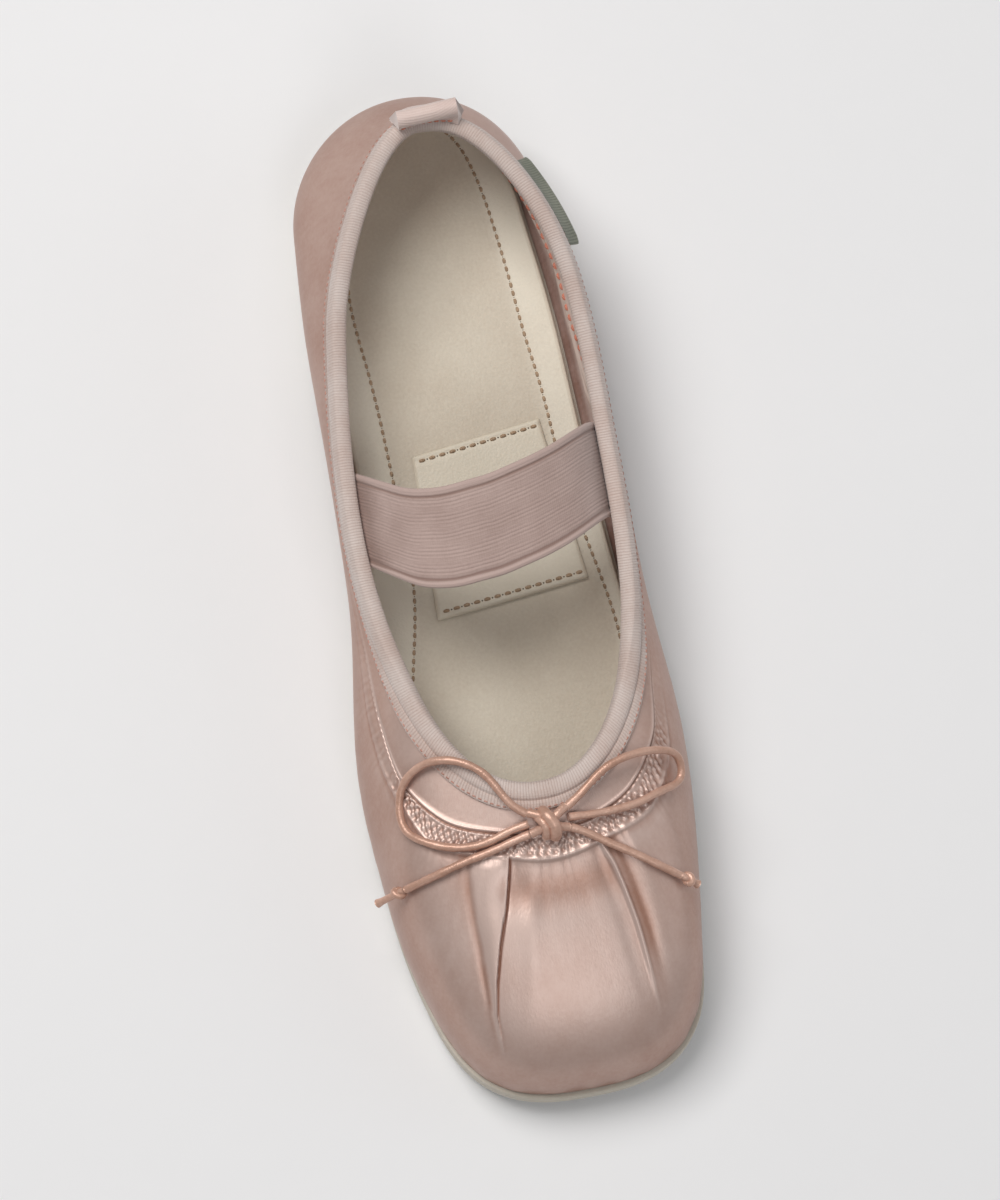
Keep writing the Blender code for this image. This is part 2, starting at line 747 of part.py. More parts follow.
straight = np.stack([p[:, 0], turned_back, np.full(7, p[:, 2].mean())], axis=1)
backward = np.array([0.0, 1.0, 0.0])
tab_lines = []
for a, b in tab_section:
    flat = min(1.0, max(0.0, (b - base) / (0.35 * TAB_RISE)))
    tab_lines.append((p + n * a) * (1 - flat) + (straight + backward * a) * flat + rise * b)
tab = np.stack(tab_lines, axis=1)
sides = len(tab_section)
tab_faces = grid_faces(len(tab), sides, False, True)
for r in (0, len(tab) - 1):
    e = r * sides
    tab_faces += [(e, e + 1, e + 2, e + 9), (e + 9, e + 2, e + 3, e + 4), (e + 9, e + 4, e + 5)]
    tab_faces += [(e + 9, e + 5, e + 6), (e + 9, e + 6, e + 7, e + 8)]
solid("heel_tab", tab.reshape(-1, 3), tab_faces, ribbon)

# The side label: a stiff woven flag under the binding, outside, behind the ankle.
ends = [girth_at(LABEL_STATION + k * LABEL_LENGTH / SOLE_LENGTH, True) for k in (-0.5, 0.5)]
label_girth = np.linspace(ends[0], ends[1], 6)
drops = binding_drop(label_girth)[:, None] + FIT_GAP + np.linspace(0, 1, 5)[None, :] * LABEL_DROP
p, n, _ = wall_frames(label_girth, drops)
flare = (LABEL_GAP + LABEL_FLARE * np.linspace(0, 1, 5) ** 1.5)[None, :, None]
near_face = p + n * flare
far_face = near_face + n * LABEL_THICKNESS
label_loop = np.concatenate([near_face, far_face[:, ::-1]], axis=1)
label_faces = grid_faces(6, 10, False, True)
for r in (0, 5):
    label_faces += [(r * 10 + c, r * 10 + c + 1, r * 10 + 8 - c, r * 10 + 9 - c) for c in range(4)]
solid("side_label", label_loop.reshape(-1, 3), label_faces, woven)

# The bow: a knot on the vamp below the throat, two loops and two tails with knotted ends.
KNOT_AT = (0.0, -0.0662, 0.0448)
h = 0.5 * KNOT_LENGTH
r = 0.5 * KNOT_DEPTH
turned(
    "bow_knot",
    KNOT_AT,
    (1, 0, 0),
    ((-h, 0.86 * r), (-0.7 * h, 0.99 * r), (-0.3 * h, 0.88 * r), (0.3 * h, 0.88 * r), (0.7 * h, 0.99 * r), (h, 0.86 * r)),
    KNOT_HEIGHT / KNOT_DEPTH,
    cording,
    12,
)
BOW = {
    "bow_loop_medial": (
        (-0.0050, -0.0632, 0.0452),
        (-0.0080, -0.0608, 0.0460),
        (-0.0135, -0.0520, 0.0468),
        (-0.0225, -0.0465, 0.0458),
        (-0.0290, -0.0465, 0.0420),
        (-0.0335, -0.0500, 0.0380),
        (-0.0350, -0.0550, 0.0360),
        (-0.0345, -0.0600, 0.0360),
        (-0.0310, -0.0640, 0.0382),
        (-0.0265, -0.0665, 0.0396),
        (-0.0160, -0.0680, 0.0423),
        (-0.0090, -0.0662, 0.0436),
        (-0.0050, -0.0656, 0.0442),
    ),
    "bow_loop_lateral": (
        (0.0050, -0.0632, 0.0452),
        (0.0085, -0.0610, 0.0460),
        (0.0155, -0.0560, 0.0468),
        (0.0265, -0.0530, 0.0450),
        (0.0320, -0.0530, 0.0415),
        (0.0355, -0.0550, 0.0368),
        (0.0355, -0.0585, 0.0350),
        (0.0290, -0.0625, 0.0393),
        (0.0235, -0.0645, 0.0412),
        (0.0175, -0.0655, 0.0424),
        (0.0095, -0.0658, 0.0436),
        (0.0050, -0.0656, 0.0442),
    ),
    "bow_tail_medial": (
        (-0.0050, -0.0680, 0.0434),
        (-0.0090, -0.0688, 0.0428),
        (-0.0140, -0.0700, 0.0420),
        (-0.0205, -0.0712, 0.0408),
        (-0.0295, -0.0730, 0.0375),
        (-0.0370, -0.0742, 0.0322),
    ),
    "bow_tail_lateral": (
        (0.0050, -0.0680, 0.0434),
        (0.0080, -0.0694, 0.0428),
        (0.0120, -0.0720, 0.0419),
        (0.0185, -0.0760, 0.0404),
        (0.0250, -0.0802, 0.0384),
        (0.0305, -0.0836, 0.0356),
    ),
}
for name, points in BOW.items():
    cord(name, points, cording)
for name, tail in (("tail_knot_medial", "bow_tail_medial"), ("tail_knot_lateral", "bow_tail_lateral")):
    end = np.array(BOW[tail][-1])
    heading = end - np.array(BOW[tail][-2])
    heading = heading / np.linalg.norm(heading)
    k = END_KNOT
    turned(
        name,
        end + heading * FIT_GAP,
        heading,
        ((0, 0.30 * k), (0.18 * k, 0.47 * k), (0.5 * k, 0.5 * k), (0.82 * k, 0.47 * k), (k, 0.30 * k),
         (k + 0.4 * END_TIP, 0.27 * k), (k + END_TIP, 0.31 * k)),
        0.85,
        cording,
    )
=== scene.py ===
import math

import bmesh
import bpy
import numpy as np
from mathutils import Matrix, Vector


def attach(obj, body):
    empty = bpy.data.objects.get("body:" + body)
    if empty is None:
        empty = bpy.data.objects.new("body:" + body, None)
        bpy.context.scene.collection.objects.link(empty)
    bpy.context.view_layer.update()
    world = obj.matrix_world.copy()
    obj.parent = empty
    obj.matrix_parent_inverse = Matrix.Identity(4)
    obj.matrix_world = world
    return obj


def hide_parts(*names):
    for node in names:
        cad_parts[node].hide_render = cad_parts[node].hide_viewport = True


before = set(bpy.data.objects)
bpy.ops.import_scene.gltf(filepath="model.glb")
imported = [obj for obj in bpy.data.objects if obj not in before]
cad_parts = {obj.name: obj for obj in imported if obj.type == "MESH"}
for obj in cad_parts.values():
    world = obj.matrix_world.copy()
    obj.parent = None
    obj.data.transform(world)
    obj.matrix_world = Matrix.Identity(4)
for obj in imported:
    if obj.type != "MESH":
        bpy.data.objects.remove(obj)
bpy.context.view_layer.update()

# Outsole. One moulded rubber unit with a low heel block, a raised waist and a
# flat ball, cemented under the upper. Its edge shows as a thin pale lip.
# The toe points to -Y; a station is a share of the sole's length from the heel.
SOLE_LENGTH = 0.256
BALL_WIDTH = 0.080
HEEL_RISE = 0.0130
SOLE_AT_BALL = 0.0060
TOE_SPRING = 0.0035
ARCH_LIFT = 0.0042
HEEL_BREAST = 0.240
BALL_TREAD = (0.58, 0.80)
SOLE_ROUND = 0.0013
SIDE_LINE_DEPTH = 0.00022
FIT_GAP = 0.0003

# Half widths of the feather line, as shares of BALL_WIDTH.
# station, inner side, outer side
FEATHER = (
    (-0.02, 0.350, 0.342),
    (0.10, 0.388, 0.350),
    (0.20, 0.402, 0.382),
    (0.32, 0.390, 0.402),
    (0.44, 0.394, 0.418),
    (0.56, 0.460, 0.452),
    (0.66, 0.515, 0.487),
    (0.76, 0.508, 0.477),
    (0.86, 0.466, 0.435),
    (0.94, 0.396, 0.400),
    (1.02, 0.366, 0.372),
)
HEEL_CAP, HEEL_POWER = 0.115, 2.1
TOE_CAP, TOE_POWER = 0.105, 2.7

# How far the sole's edge stands out past the upper; on the inner side it lies just inside.
# share of the girth, distance
MARGIN = (
    (0.00, 0.0010),
    (0.10, 0.0012),
    (0.50, 0.0013),
    (0.55, 0.0010),
    (0.62, -0.0002),
    (0.92, -0.0002),
    (1.00, 0.0010),
)


def spline(rows, column, at):
    """Natural cubic spline through one column of a table whose first column is the station."""
    table = np.array(rows, float)
    t = table[:, 0]
    v = table[:, column]
    n = len(t)
    h = np.diff(t)
    a = np.zeros((n, n))
    b = np.zeros(n)
    a[0, 0] = 1.0
    a[-1, -1] = 1.0
    for i in range(1, n - 1):
        a[i, i - 1] = h[i - 1]
        a[i, i] = 2 * (h[i - 1] + h[i])
        a[i, i + 1] = h[i]
        b[i] = 6 * ((v[i + 1] - v[i]) / h[i] - (v[i] - v[i - 1]) / h[i - 1])
    m = np.linalg.solve(a, b)
    at = np.clip(np.asarray(at, float), t[0], t[-1])
    i = np.clip(np.searchsorted(t, at, side="right") - 1, 0, n - 2)
    past = at - t[i]
    left = t[i + 1] - at
    return (
        m[i] * left**3 / (6 * h[i])
        + m[i + 1] * past**3 / (6 * h[i])
        + (v[i] / h[i] - m[i] * h[i] / 6) * left
        + (v[i + 1] / h[i] - m[i + 1] * h[i] / 6) * past
    )


def monotone(rows, column, at):
    """Cubic through one column of a table that never turns back between its rows."""
    table = np.array(rows, float)
    x = table[:, 0]
    y = table[:, column]
    h = np.diff(x)
    d = np.diff(y) / h
    m = np.zeros(len(x))
    m[0] = d[0]
    m[-1] = d[-1]
    for i in range(1, len(x) - 1):
        if d[i - 1] * d[i] > 0:
            w1 = 2 * h[i] + h[i - 1]
            w2 = h[i] + 2 * h[i - 1]
            m[i] = (w1 + w2) / (w1 / d[i - 1] + w2 / d[i])
    i = np.clip(np.searchsorted(x, at, side="right") - 1, 0, len(x) - 2)
    t = (at - x[i]) / h[i]
    return (
        (2 * t**3 - 3 * t**2 + 1) * y[i]
        + (t**3 - 2 * t**2 + t) * h[i] * m[i]
        + (-2 * t**3 + 3 * t**2) * y[i + 1]
        + (t**3 - t**2) * h[i] * m[i + 1]
    )


def rounded(along, power):
    """Share of full width at a share of the way into a rounded end."""
    return np.maximum(0.0, 1 - np.clip(along, 0, 1) ** power) ** (1 / power)


def half_outline(rows, column, start, end, start_cap, end_cap, start_power, end_power):
    """Station, half width and length along the curve for one side, heel to toe."""
    k = np.linspace(0, 1, 401)
    s = start + (end - start) * 0.5 * (1 - np.cos(math.pi * k))
    w = spline(rows, column, s) * BALL_WIDTH
    w = w * rounded((start + start_cap - s) / start_cap, start_power)
    w = w * rounded((s - end + end_cap) / end_cap, end_power)
    length = np.concatenate([[0], np.cumsum(np.hypot(np.diff(s) * SOLE_LENGTH, np.diff(w)))])
    return s, w, length


def feather_outline(column):
    """The sole's outline on one side."""
    return half_outline(FEATHER, column, 0.0, 1.0, HEEL_CAP, TOE_CAP, HEEL_POWER, TOE_POWER)


def sole_top(s):
    """Height of the sole's upper face."""
    rows = (
        (-0.05, HEEL_RISE),
        (0.10, HEEL_RISE),
        (0.25, SOLE_AT_BALL + 0.89 * (HEEL_RISE - SOLE_AT_BALL)),
        (0.45, 0.5 * (HEEL_RISE + SOLE_AT_BALL)),
        (0.65, SOLE_AT_BALL + 0.04 * (HEEL_RISE - SOLE_AT_BALL)),
        (0.75, SOLE_AT_BALL),
        (0.88, SOLE_AT_BALL + 0.25 * TOE_SPRING),
        (1.00, SOLE_AT_BALL + TOE_SPRING),
        (1.05, SOLE_AT_BALL + 1.3 * TOE_SPRING),
    )
    return spline(rows, 1, s)


def tread(s):
    """Height of the sole's underside: flat heel, breast, arch, flat ball, then the toe's spring."""
    s = np.asarray(s, float)
    ball, toe = BALL_TREAD
    k = np.clip((s - HEEL_BREAST) / (ball - HEEL_BREAST), 0, 1)
    breast = np.minimum(1, k / 0.10)
    falling = 0.5 + 0.5 * np.cos(math.pi * np.clip((k - 0.3) / 0.7, 0, 1))
    arch = ARCH_LIFT * breast * falling
    lift = TOE_SPRING * (np.clip((s - toe) / (1 - toe), 0, 1.2)) ** 1.8
    return arch + lift


def feather_line(g):
    """Points and stations of the sole's edge at girth shares g: heel back 0, toe 0.5, outer side first."""
    g = np.mod(np.asarray(g, float), 1.0)
    outer = g <= 0.5
    k = np.where(outer, g, 1 - g) * 2
    s = np.zeros(len(g))
    x = np.zeros(len(g))
    for pick, column, sign in ((outer, 2, 1.0), (~outer, 1, -1.0)):
        fs, fw, fa = feather_outline(column)
        s[pick] = np.interp(k[pick] * fa[-1], fa, fs)
        x[pick] = sign * np.interp(k[pick] * fa[-1], fa, fw)
    return np.stack([x, (0.5 - s) * SOLE_LENGTH, sole_top(s) + FIT_GAP], 1), s


def unit(v):
    """The same directions, each made one long."""
    return v / np.linalg.norm(v, axis=-1)[..., None]


def plan_normals(g):
    """Horizontal outward direction of the sole's edge."""
    along = (feather_line(np.asarray(g) + 0.002)[0] - feather_line(np.asarray(g) - 0.002)[0])[:, :2]
    out = np.stack([-along[:, 1], along[:, 0], np.zeros(len(along))], 1)
    return unit(out)


def skin_mesh(name, grid, u, v, around=True, closed=False, ends=False):
    """A mesh over a grid of points, columns by rows, with a map in metres laid over it.

    around joins the last column to the first, closed joins the last row to the first, and ends
    caps the first and last column. u and v have one more entry where the grid is joined.
    """
    columns, rows = grid.shape[:2]
    c = np.arange(columns if around else columns - 1)[:, None]
    r = np.arange(rows if closed else rows - 1)[None, :]
    d = (c + 1) % columns
    n = (r + 1) % rows
    quads = np.stack([c * rows + r, d * rows + r, d * rows + n, c * rows + n], -1).reshape(-1, 4)
    corner_c = np.stack([c + 0 * r, c + 1 + 0 * r, c + 1 + 0 * r, c + 0 * r], -1).reshape(-1)
    corner_r = np.stack([r + 0 * c, r + 0 * c, r + 1 + 0 * c, r + 1 + 0 * c], -1).reshape(-1)
    points = grid.reshape(-1, 3)
    p = points[quads] - points.mean(0)
    volume = (p[:, 0] * np.cross(p[:, 1], p[:, 2])).sum() + (p[:, 0] * np.cross(p[:, 2], p[:, 3])).sum()
    faces = quads.tolist()
    uv = np.stack([u[corner_c, corner_r], v[corner_c, corner_r]], 1)
    if volume < 0 and closed:
        faces = [f[::-1] for f in faces]
        uv = uv.reshape(-1, 4, 2)[:, ::-1].reshape(-1, 2)
    if ends:
        caps = [list(range(rows)), list(range((columns - 1) * rows, columns * rows))]
        caps[0 if volume > 0 else 1].reverse()
        faces += caps
        uv = np.concatenate([uv, np.repeat(uv[:1], 2 * rows, axis=0)])
    mesh = bpy.data.meshes.new(name)
    mesh.from_pydata(points.tolist(), [], faces)
    layer = mesh.uv_layers.new(name="cloth")
    layer.uv.foreach_set("vector", uv.astype(np.float32).ravel())
    mesh.shade_smooth()
    return mesh


def place(name, mesh, finishes, slot, *nodes):
    """Put a piece of the shoe into the scene with its finishes, standing for the named solids."""
    piece = bpy.data.objects.new(name, mesh)
    bpy.context.collection.objects.link(piece)
    for finish in finishes:
        mesh.materials.append(finish)
    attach(piece, "root")
    if nodes:
        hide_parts(*nodes)
    return piece


def node_group(name, inputs, outputs):
    """An empty group of shader nodes with its own inputs and outputs."""
    group = bpy.data.node_groups.new(name, "ShaderNodeTree")
    for label, kind, value in inputs:
        made = group.interface.new_socket(label, in_out="INPUT", socket_type=kind)
        if value is not None:
            made.default_value = value
    for label, kind in outputs:
        group.interface.new_socket(label, in_out="OUTPUT", socket_type=kind)
    return group, group.nodes.new("NodeGroupInput"), group.nodes.new("NodeGroupOutput")


def feed(tree, made, feeds):
    """Give a node's inputs, named or numbered as i0 and so on, their sockets or plain values."""
    for key, value in feeds.items():
        at = int(key[1:]) if key[1:].isdigit() and key[0] == "i" else key.replace("_", " ")
        if isinstance(value, bpy.types.NodeSocket):
            tree.links.new(value, made.inputs[at])
        else:
            made.inputs[at].default_value = value
    return made


def wire(tree, kind, settings=(), **feeds):
    """A node in a tree with its settings and its inputs."""
    made = tree.nodes.new(kind)
    for key, value in dict(settings).items():
        setattr(made, key, value)
    return feed(tree, made, feeds)


def maths(tree, operation, a, b=0.0):
    """One sum on two numbers or sockets."""
    return wire(tree, "ShaderNodeMath", {"operation": operation}, i0=a, i1=b).outputs[0]


def spot_on(tree):
    """The place on the shoe itself, in metres."""
    return wire(tree, "ShaderNodeTexCoord").outputs["Object"]


def noise(tree, at, scale, detail, **more):
    """Cloudy noise from 0 to 1."""
    return wire(tree, "ShaderNodeTexNoise", Vector=at, Scale=scale, Detail=detail, **more).outputs["Fac"]


# Uneven colour: slow cloudy change between two shades, with a fine speckle on top.
mottle, start, end = node_group(
    "uneven colour",
    (("Shade", "NodeSocketColor", (0.8, 0.8, 0.8, 1)), ("Deep shade", "NodeSocketColor", (0.6, 0.6, 0.6, 1)),
     ("Cloud size", "NodeSocketFloat", 0.012), ("Speckle size", "NodeSocketFloat", 0.0012),
     ("Amount", "NodeSocketFloat", 0.5), ("Extra", "NodeSocketFloat", 0.0)),
    (("Color", "NodeSocketColor"),),
)
at = spot_on(mottle)
cloud = noise(mottle, at, maths(mottle, "DIVIDE", 1.0, start.outputs["Cloud size"]), 3.0, Roughness=0.5)
speckle = noise(mottle, at, maths(mottle, "DIVIDE", 1.0, start.outputs["Speckle size"]), 2.0)
both = maths(mottle, "ADD", maths(mottle, "MULTIPLY", cloud, 0.7), maths(mottle, "MULTIPLY", speckle, 0.3))
spread = wire(mottle, "ShaderNodeMapRange", i0=both, i1=0.36, i2=0.64, i3=0.0, i4=1.0).outputs[0]
share = maths(mottle, "MULTIPLY", spread, start.outputs["Amount"])
# Extra adds painted shade, and takes it away for a painted highlight where it is below 0.
share = maths(mottle, "ADD", share, start.outputs["Extra"])
share = wire(mottle, "ShaderNodeClamp", Value=share).outputs[0]
mixed = wire(mottle, "ShaderNodeMix", {"data_type": "RGBA"}, i0=share, i6=start.outputs["Shade"],
             i7=start.outputs["Deep shade"]).outputs[2]
mottle.links.new(mixed, end.inputs["Color"])


def finish_of(name, roughness, **sockets):
    """A new material with its shader's own plain values set."""
    made = bpy.data.materials.new(name)
    made.use_nodes = True
    shader = made.node_tree.nodes["Principled BSDF"]
    shader.inputs["Roughness"].default_value = roughness
    for key, value in sockets.items():
        shader.inputs[key.replace("_", " ")].default_value = value
    return made, made.node_tree, shader


def group_node(tree, group, **feeds):
    """A group placed in a material."""
    made = tree.nodes.new("ShaderNodeGroup")
    made.node_tree = group
    return feed(tree, made, feeds)


def coloured(tree, shader, shade, deep, cloud_size, speckle_size, amount, extra=0.0):
    """Feed a shader's colour from the uneven colour group."""
    made = group_node(tree, mottle, Shade=(*shade, 1), Deep_shade=(*deep, 1), Cloud_size=cloud_size,
                      Speckle_size=speckle_size, Amount=amount, Extra=extra)
    tree.links.new(made.outputs["Color"], shader.inputs["Base Color"])


def bumped(tree, shader, height, distance):
    """Raise a surface by a height from 0 to 1 times a distance in metres."""
    made = wire(tree, "ShaderNodeBump", Height=height, Distance=distance, Strength=1.0)
    tree.links.new(made.outputs[0], shader.inputs["Normal"])


rubber, tree, shader = finish_of("sole rubber", 0.62, Specular_IOR_Level=0.35)
coloured(tree, shader, (0.68, 0.62, 0.53), (0.55, 0.49, 0.40), 0.02, 0.0010, 0.5)
bumped(tree, shader, noise(tree, spot_on(tree), 1800.0, 3.0), 0.00012)

girth = np.arange(400) / 400
edge_line, edge_station = feather_line(girth)
edge_out = plan_normals(girth)
low = tread(edge_station)
high = sole_top(edge_station)
quarter = np.linspace(0, 0.5 * math.pi, 5)
margin = monotone(MARGIN, 1, girth)
sole_rings = [
    (SOLE_ROUND * (1 - math.sin(a)) - margin, low + SOLE_ROUND * (1 - math.cos(a)))
    for a in quarter
]
side_height = high - low - 1.5 * SOLE_ROUND
for k, groove in ((0.55, 0.0), (0.60, SIDE_LINE_DEPTH), (0.64, 0.0)):
    sole_rings.append((groove - margin, low + SOLE_ROUND + side_height * k))
sole_rings += [
    (0.4 * SOLE_ROUND * (1 - math.cos(a)) - margin, high - 0.5 * SOLE_ROUND * (1 - math.sin(a)))
    for a in quarter
]
outline = np.stack([edge_line - edge_out * inset[:, None] for inset, _ in sole_rings], 1)
outline[:, :, 2] = np.stack([z for _, z in sole_rings], 1)


def filled(name, rings, floor_height, top_height, across):
    """A flat-lying solid: rings of an outline, columns by rows, closed under and over by crossed faces."""
    count, rows = rings.shape[:2]
    half = count // 2
    plain_map = np.zeros((count + 1, rows))
    mesh = skin_mesh(name, rings, plain_map, plain_map)
    bm = bmesh.new()
    bm.from_mesh(mesh)
    bm.verts.ensure_lookup_table()
    for row, height in ((0, floor_height), (rows - 1, top_height)):
        lines = [[bm.verts[row]]]
        for i in range(1, half):
            a = bm.verts[(count - i) * rows + row]
            b = bm.verts[i * rows + row]
            line = [a]
            for k in range(1, across):
                t = 0.5 - 0.5 * math.cos(math.pi * k / across)
                p = a.co.lerp(b.co, t)
                line.append(bm.verts.new((p.x, p.y, height(p.y))))
            lines.append(line + [b])
            bm.verts.ensure_lookup_table()
        lines.append([bm.verts[half * rows + row]])
        for a, b in zip(lines[:-1], lines[1:]):
            for k in range(across):
                ring = ((a, k), (b, k), (b, k + 1), (a, k + 1))
                corners = [side[min(at, len(side) - 1)] for side, at in ring]
                bm.faces.new(list(dict.fromkeys(corners)))
    bmesh.ops.recalc_face_normals(bm, faces=bm.faces)
    bm.to_mesh(mesh)
    bm.free()
    mesh.shade_smooth()
    mesh.set_sharp_from_angle(angle=math.radians(50))
    return mesh


sole_mesh = filled(
    "outsole_unit",
    outline,
    lambda y: float(tread(0.5 - y / SOLE_LENGTH)),
    lambda y: float(sole_top(0.5 - y / SOLE_LENGTH)),
    14,
)
place("outsole_unit", sole_mesh, [rubber], "outsole", "outsole")

# Insole. A board cupped at its edge and covered in a smooth greige sheet, laid
# on the sole. Two stitched lines run down its sides, and the cover between
# them is pressed a little lower than the border.
WALL = 0.0017
INSOLE_THICKNESS = 0.0032
INSOLE_CUP = 0.0010
INSOLE_CLEARANCE = 0.0010
INSOLE_ROUND = 0.0010
PANEL_DEPTH = 0.00050
PANEL_SOFTNESS = 0.0005
PANEL_START = 0.006
STITCH_PITCH = 0.0022
STITCH_SIZE = (0.0016, 0.00088)  # length, thickness
# The needle holes are dark blobs of painted shade, sunk between the stitches.
HOLE_SIZE = (0.0005, 0.00050)
HOLE_SINK = 0.82

# Where the two stitched lines run. station, inner side x, outer side x
PANEL = (
    (0.010, -0.0060, 0.0060),
    (0.030, -0.0125, 0.0110),
    (0.064, -0.0172, 0.0152),
    (0.143, -0.0206, 0.0185),
    (0.191, -0.0216, 0.0196),
    (0.246, -0.0207, 0.0206),
    (0.300, -0.0198, 0.0221),
    (0.360, -0.0194, 0.0230),
    (0.420, -0.0190, 0.0244),
    (0.470, -0.0190, 0.0266),
    (0.520, -0.0208, 0.0288),
    (0.556, -0.0229, 0.0298),
    (0.584, -0.0244, 0.0300),
    (0.680, -0.0290, 0.0306),
    (0.760, -0.0300, 0.0298),
)


def pressing(x, y):
    """Share of the press at a point of the insole: 1 well inside the stitched lines, 0 on the border."""
    s = 0.5 - y / SOLE_LENGTH
    inside = np.minimum(x - spline(PANEL, 1, s), spline(PANEL, 2, s) - x)
    return 1 / (1 + np.exp(-np.minimum(inside, (s - PANEL_START) * SOLE_LENGTH) / PANEL_SOFTNESS))


def bed_height(x, y):
    """Height of the insole's upper face, with its cupped edge and pressed panel."""
    s = 0.5 - y / SOLE_LENGTH
    inset = WALL + INSOLE_CLEARANCE + INSOLE_ROUND
    fs, fw, _ = feather_outline(2)
    outer = np.interp(s, fs, fw) - inset
    fs, fw, _ = feather_outline(1)
    inner = np.interp(s, fs, fw) - inset
    u = np.clip((2 * x + inner - outer) / np.maximum(inner + outer, 1e-4), -1, 1)
    cupped = sole_top(s) + FIT_GAP + INSOLE_THICKNESS + INSOLE_CUP * np.abs(u) ** 2.5
    return cupped - PANEL_DEPTH * pressing(x, y)


def add_painted_shade(mesh, values):
    """Keep the painted shade of each point of a mesh for its material: 1 in a hollow, below 0 a painted
    highlight on a ridge.
    """
    layer = mesh.attributes.new("painted_shade", "FLOAT", "POINT")
    layer.data.foreach_set("value", values.astype(np.float32).ravel())


def painted_shade_in(tree):
    """The painted shade kept by add_painted_shade, read in a material."""
    return wire(tree, "ShaderNodeAttribute", {"attribute_name": "painted_shade"}).outputs["Fac"]


cover, tree, shader = finish_of("insole cover", 0.56, Specular_IOR_Level=0.40)
# The cover's colour takes the painted shade kept on the footbed.
coloured(tree, shader, (0.765, 0.715, 0.600), (0.54, 0.465, 0.365), 0.030, 0.0008, 0.40, painted_shade_in(tree))
spot = spot_on(tree)
grain = wire(tree, "ShaderNodeTexVoronoi", Vector=spot, Scale=1500.0).outputs["Distance"]
cockle = noise(tree, spot, 120.0, 3.0)
bumped(tree, shader, maths(tree, "ADD", maths(tree, "MULTIPLY", grain, 0.35), cockle), 0.00018)

girth = np.arange(480) / 480
edge_line, edge_station = feather_line(girth)
edge_out = plan_normals(girth)
inset = WALL + INSOLE_CLEARANCE
bed = sole_top(edge_station) + FIT_GAP
lip = bed + INSOLE_THICKNESS
bed_rings = [
    (0.0, bed),
    (0.0, lip + 0.5 * INSOLE_CUP),
    (0.12 * INSOLE_ROUND, lip + 0.8 * INSOLE_CUP),
    (0.5 * INSOLE_ROUND, lip + 0.97 * INSOLE_CUP),
    (INSOLE_ROUND, lip + INSOLE_CUP),
]
rings = np.stack([edge_line - edge_out * (inset + more) for more, _ in bed_rings], 1)
rings[:, :, 2] = np.stack([z for _, z in bed_rings], 1)
bed_mesh = filled(
    "footbed",
    rings,
    lambda y: float(sole_top(0.5 - y / SOLE_LENGTH)) + FIT_GAP,
    lambda y: 0.0,
    56,
)
co = np.array([v.co for v in bed_mesh.vertices])
flat = co[:, 2] == 0.0
co[flat, 2] = bed_height(co[flat, 0], co[flat, 1])
bed_mesh.vertices.foreach_set("co", co.astype(np.float32).ravel())
# Painted shade over the pressed panel and a painted lighter border beside it.
add_painted_shade(bed_mesh, np.where(flat, 0.60 * pressing(co[:, 0], co[:, 1]) - 0.20, 0.0))
place("footbed", bed_mesh, [cover], "insole", "insole")


def stitched(name, line, up, long, thick, sink):
    """One mesh of thread stitches: middles along a line, with the surface's upward direction at each."""
    ahead = unit(np.gradient(line, axis=0))
    aside = unit(np.cross(up, ahead))
    raised = np.cross(ahead, aside)
    parts = []
    for t, fat in ((-0.5, 0.35), (-0.36, 0.8), (0.0, 1.0), (0.36, 0.8), (0.5, 0.35)):
        for k in range(6):
            a = 2 * math.pi * k / 6
            lift = thick * (0.5 * fat * math.sin(a) + 0.5 - sink - 0.9 * (2 * t) ** 4 * 0.5)
            wide = 0.5 * thick * fat * math.cos(a)
            parts.append(line + ahead * (t * long) + aside * wide + raised * lift)
    points = np.stack(parts, 1)
    faces = []
    for s in range(len(line)):
        base = s * 30
        for r in range(4):
            for k in range(6):
                n = (k + 1) % 6
                faces.append((base + r * 6 + k, base + r * 6 + n, base + r * 6 + 6 + n, base + r * 6 + 6 + k))
        faces.append(tuple(base + k for k in range(5, -1, -1)))
        faces.append(tuple(base + 24 + k for k in range(6)))
    mesh = bpy.data.meshes.new(name)
    mesh.from_pydata(points.reshape(-1, 3).tolist(), [], faces)
    bm = bmesh.new()
    bm.from_mesh(mesh)
    bmesh.ops.recalc_face_normals(bm, faces=bm.faces)
    bm.to_mesh(mesh)
    bm.free()
    mesh.shade_smooth()
    return mesh


def run_of(line):
    """Length along a line of points, from its start to each of them."""
    return np.concatenate([[0], np.cumsum(np.linalg.norm(np.diff(line, axis=0), axis=1))])


def picked(at, run, line):
    """Points of a line at lengths along it."""
    return np.stack([np.interp(at, run, line[:, c]) for c in range(3)], 1)


def evenly(line, pitch):
    """Middles of stitches, one pitch apart along a line of points."""
    run = run_of(line)
    return picked(np.arange(0.5 * pitch, run[-1], pitch), run, line)


def thread_of(name, shade, deep):
    """Twisted sewing thread."""
    made, tree, shader = finish_of(name, 0.60)
    coloured(tree, shader, shade, deep, 0.003, 0.0004, 0.6)
    twist = wire(tree, "ShaderNodeTexWave", {"wave_type": "BANDS", "bands_direction": "DIAGONAL"},
                 Vector=spot_on(tree), Scale=900.0, Distortion=2.0)
    bumped(tree, shader, twist.outputs["Fac"], 0.00008)
    return made


brown_thread = thread_of("insole thread", (0.50, 0.36, 0.24), (0.32, 0.21, 0.13))
# Painted shade: a near-black thread finish for the blobs that stand for the needle holes.
hole_shade_finish = thread_of("needle hole painted shade", (0.10, 0.065, 0.04), (0.05, 0.03, 0.02))
s = np.linspace(0.012, 0.70, 400)
inner_row = np.stack([spline(PANEL, 1, s), (0.5 - s) * SOLE_LENGTH, 0 * s], 1)
outer_row = np.stack([spline(PANEL, 2, s), (0.5 - s) * SOLE_LENGTH, 0 * s], 1)
upright = np.array([0.0, 0.0, 1.0])


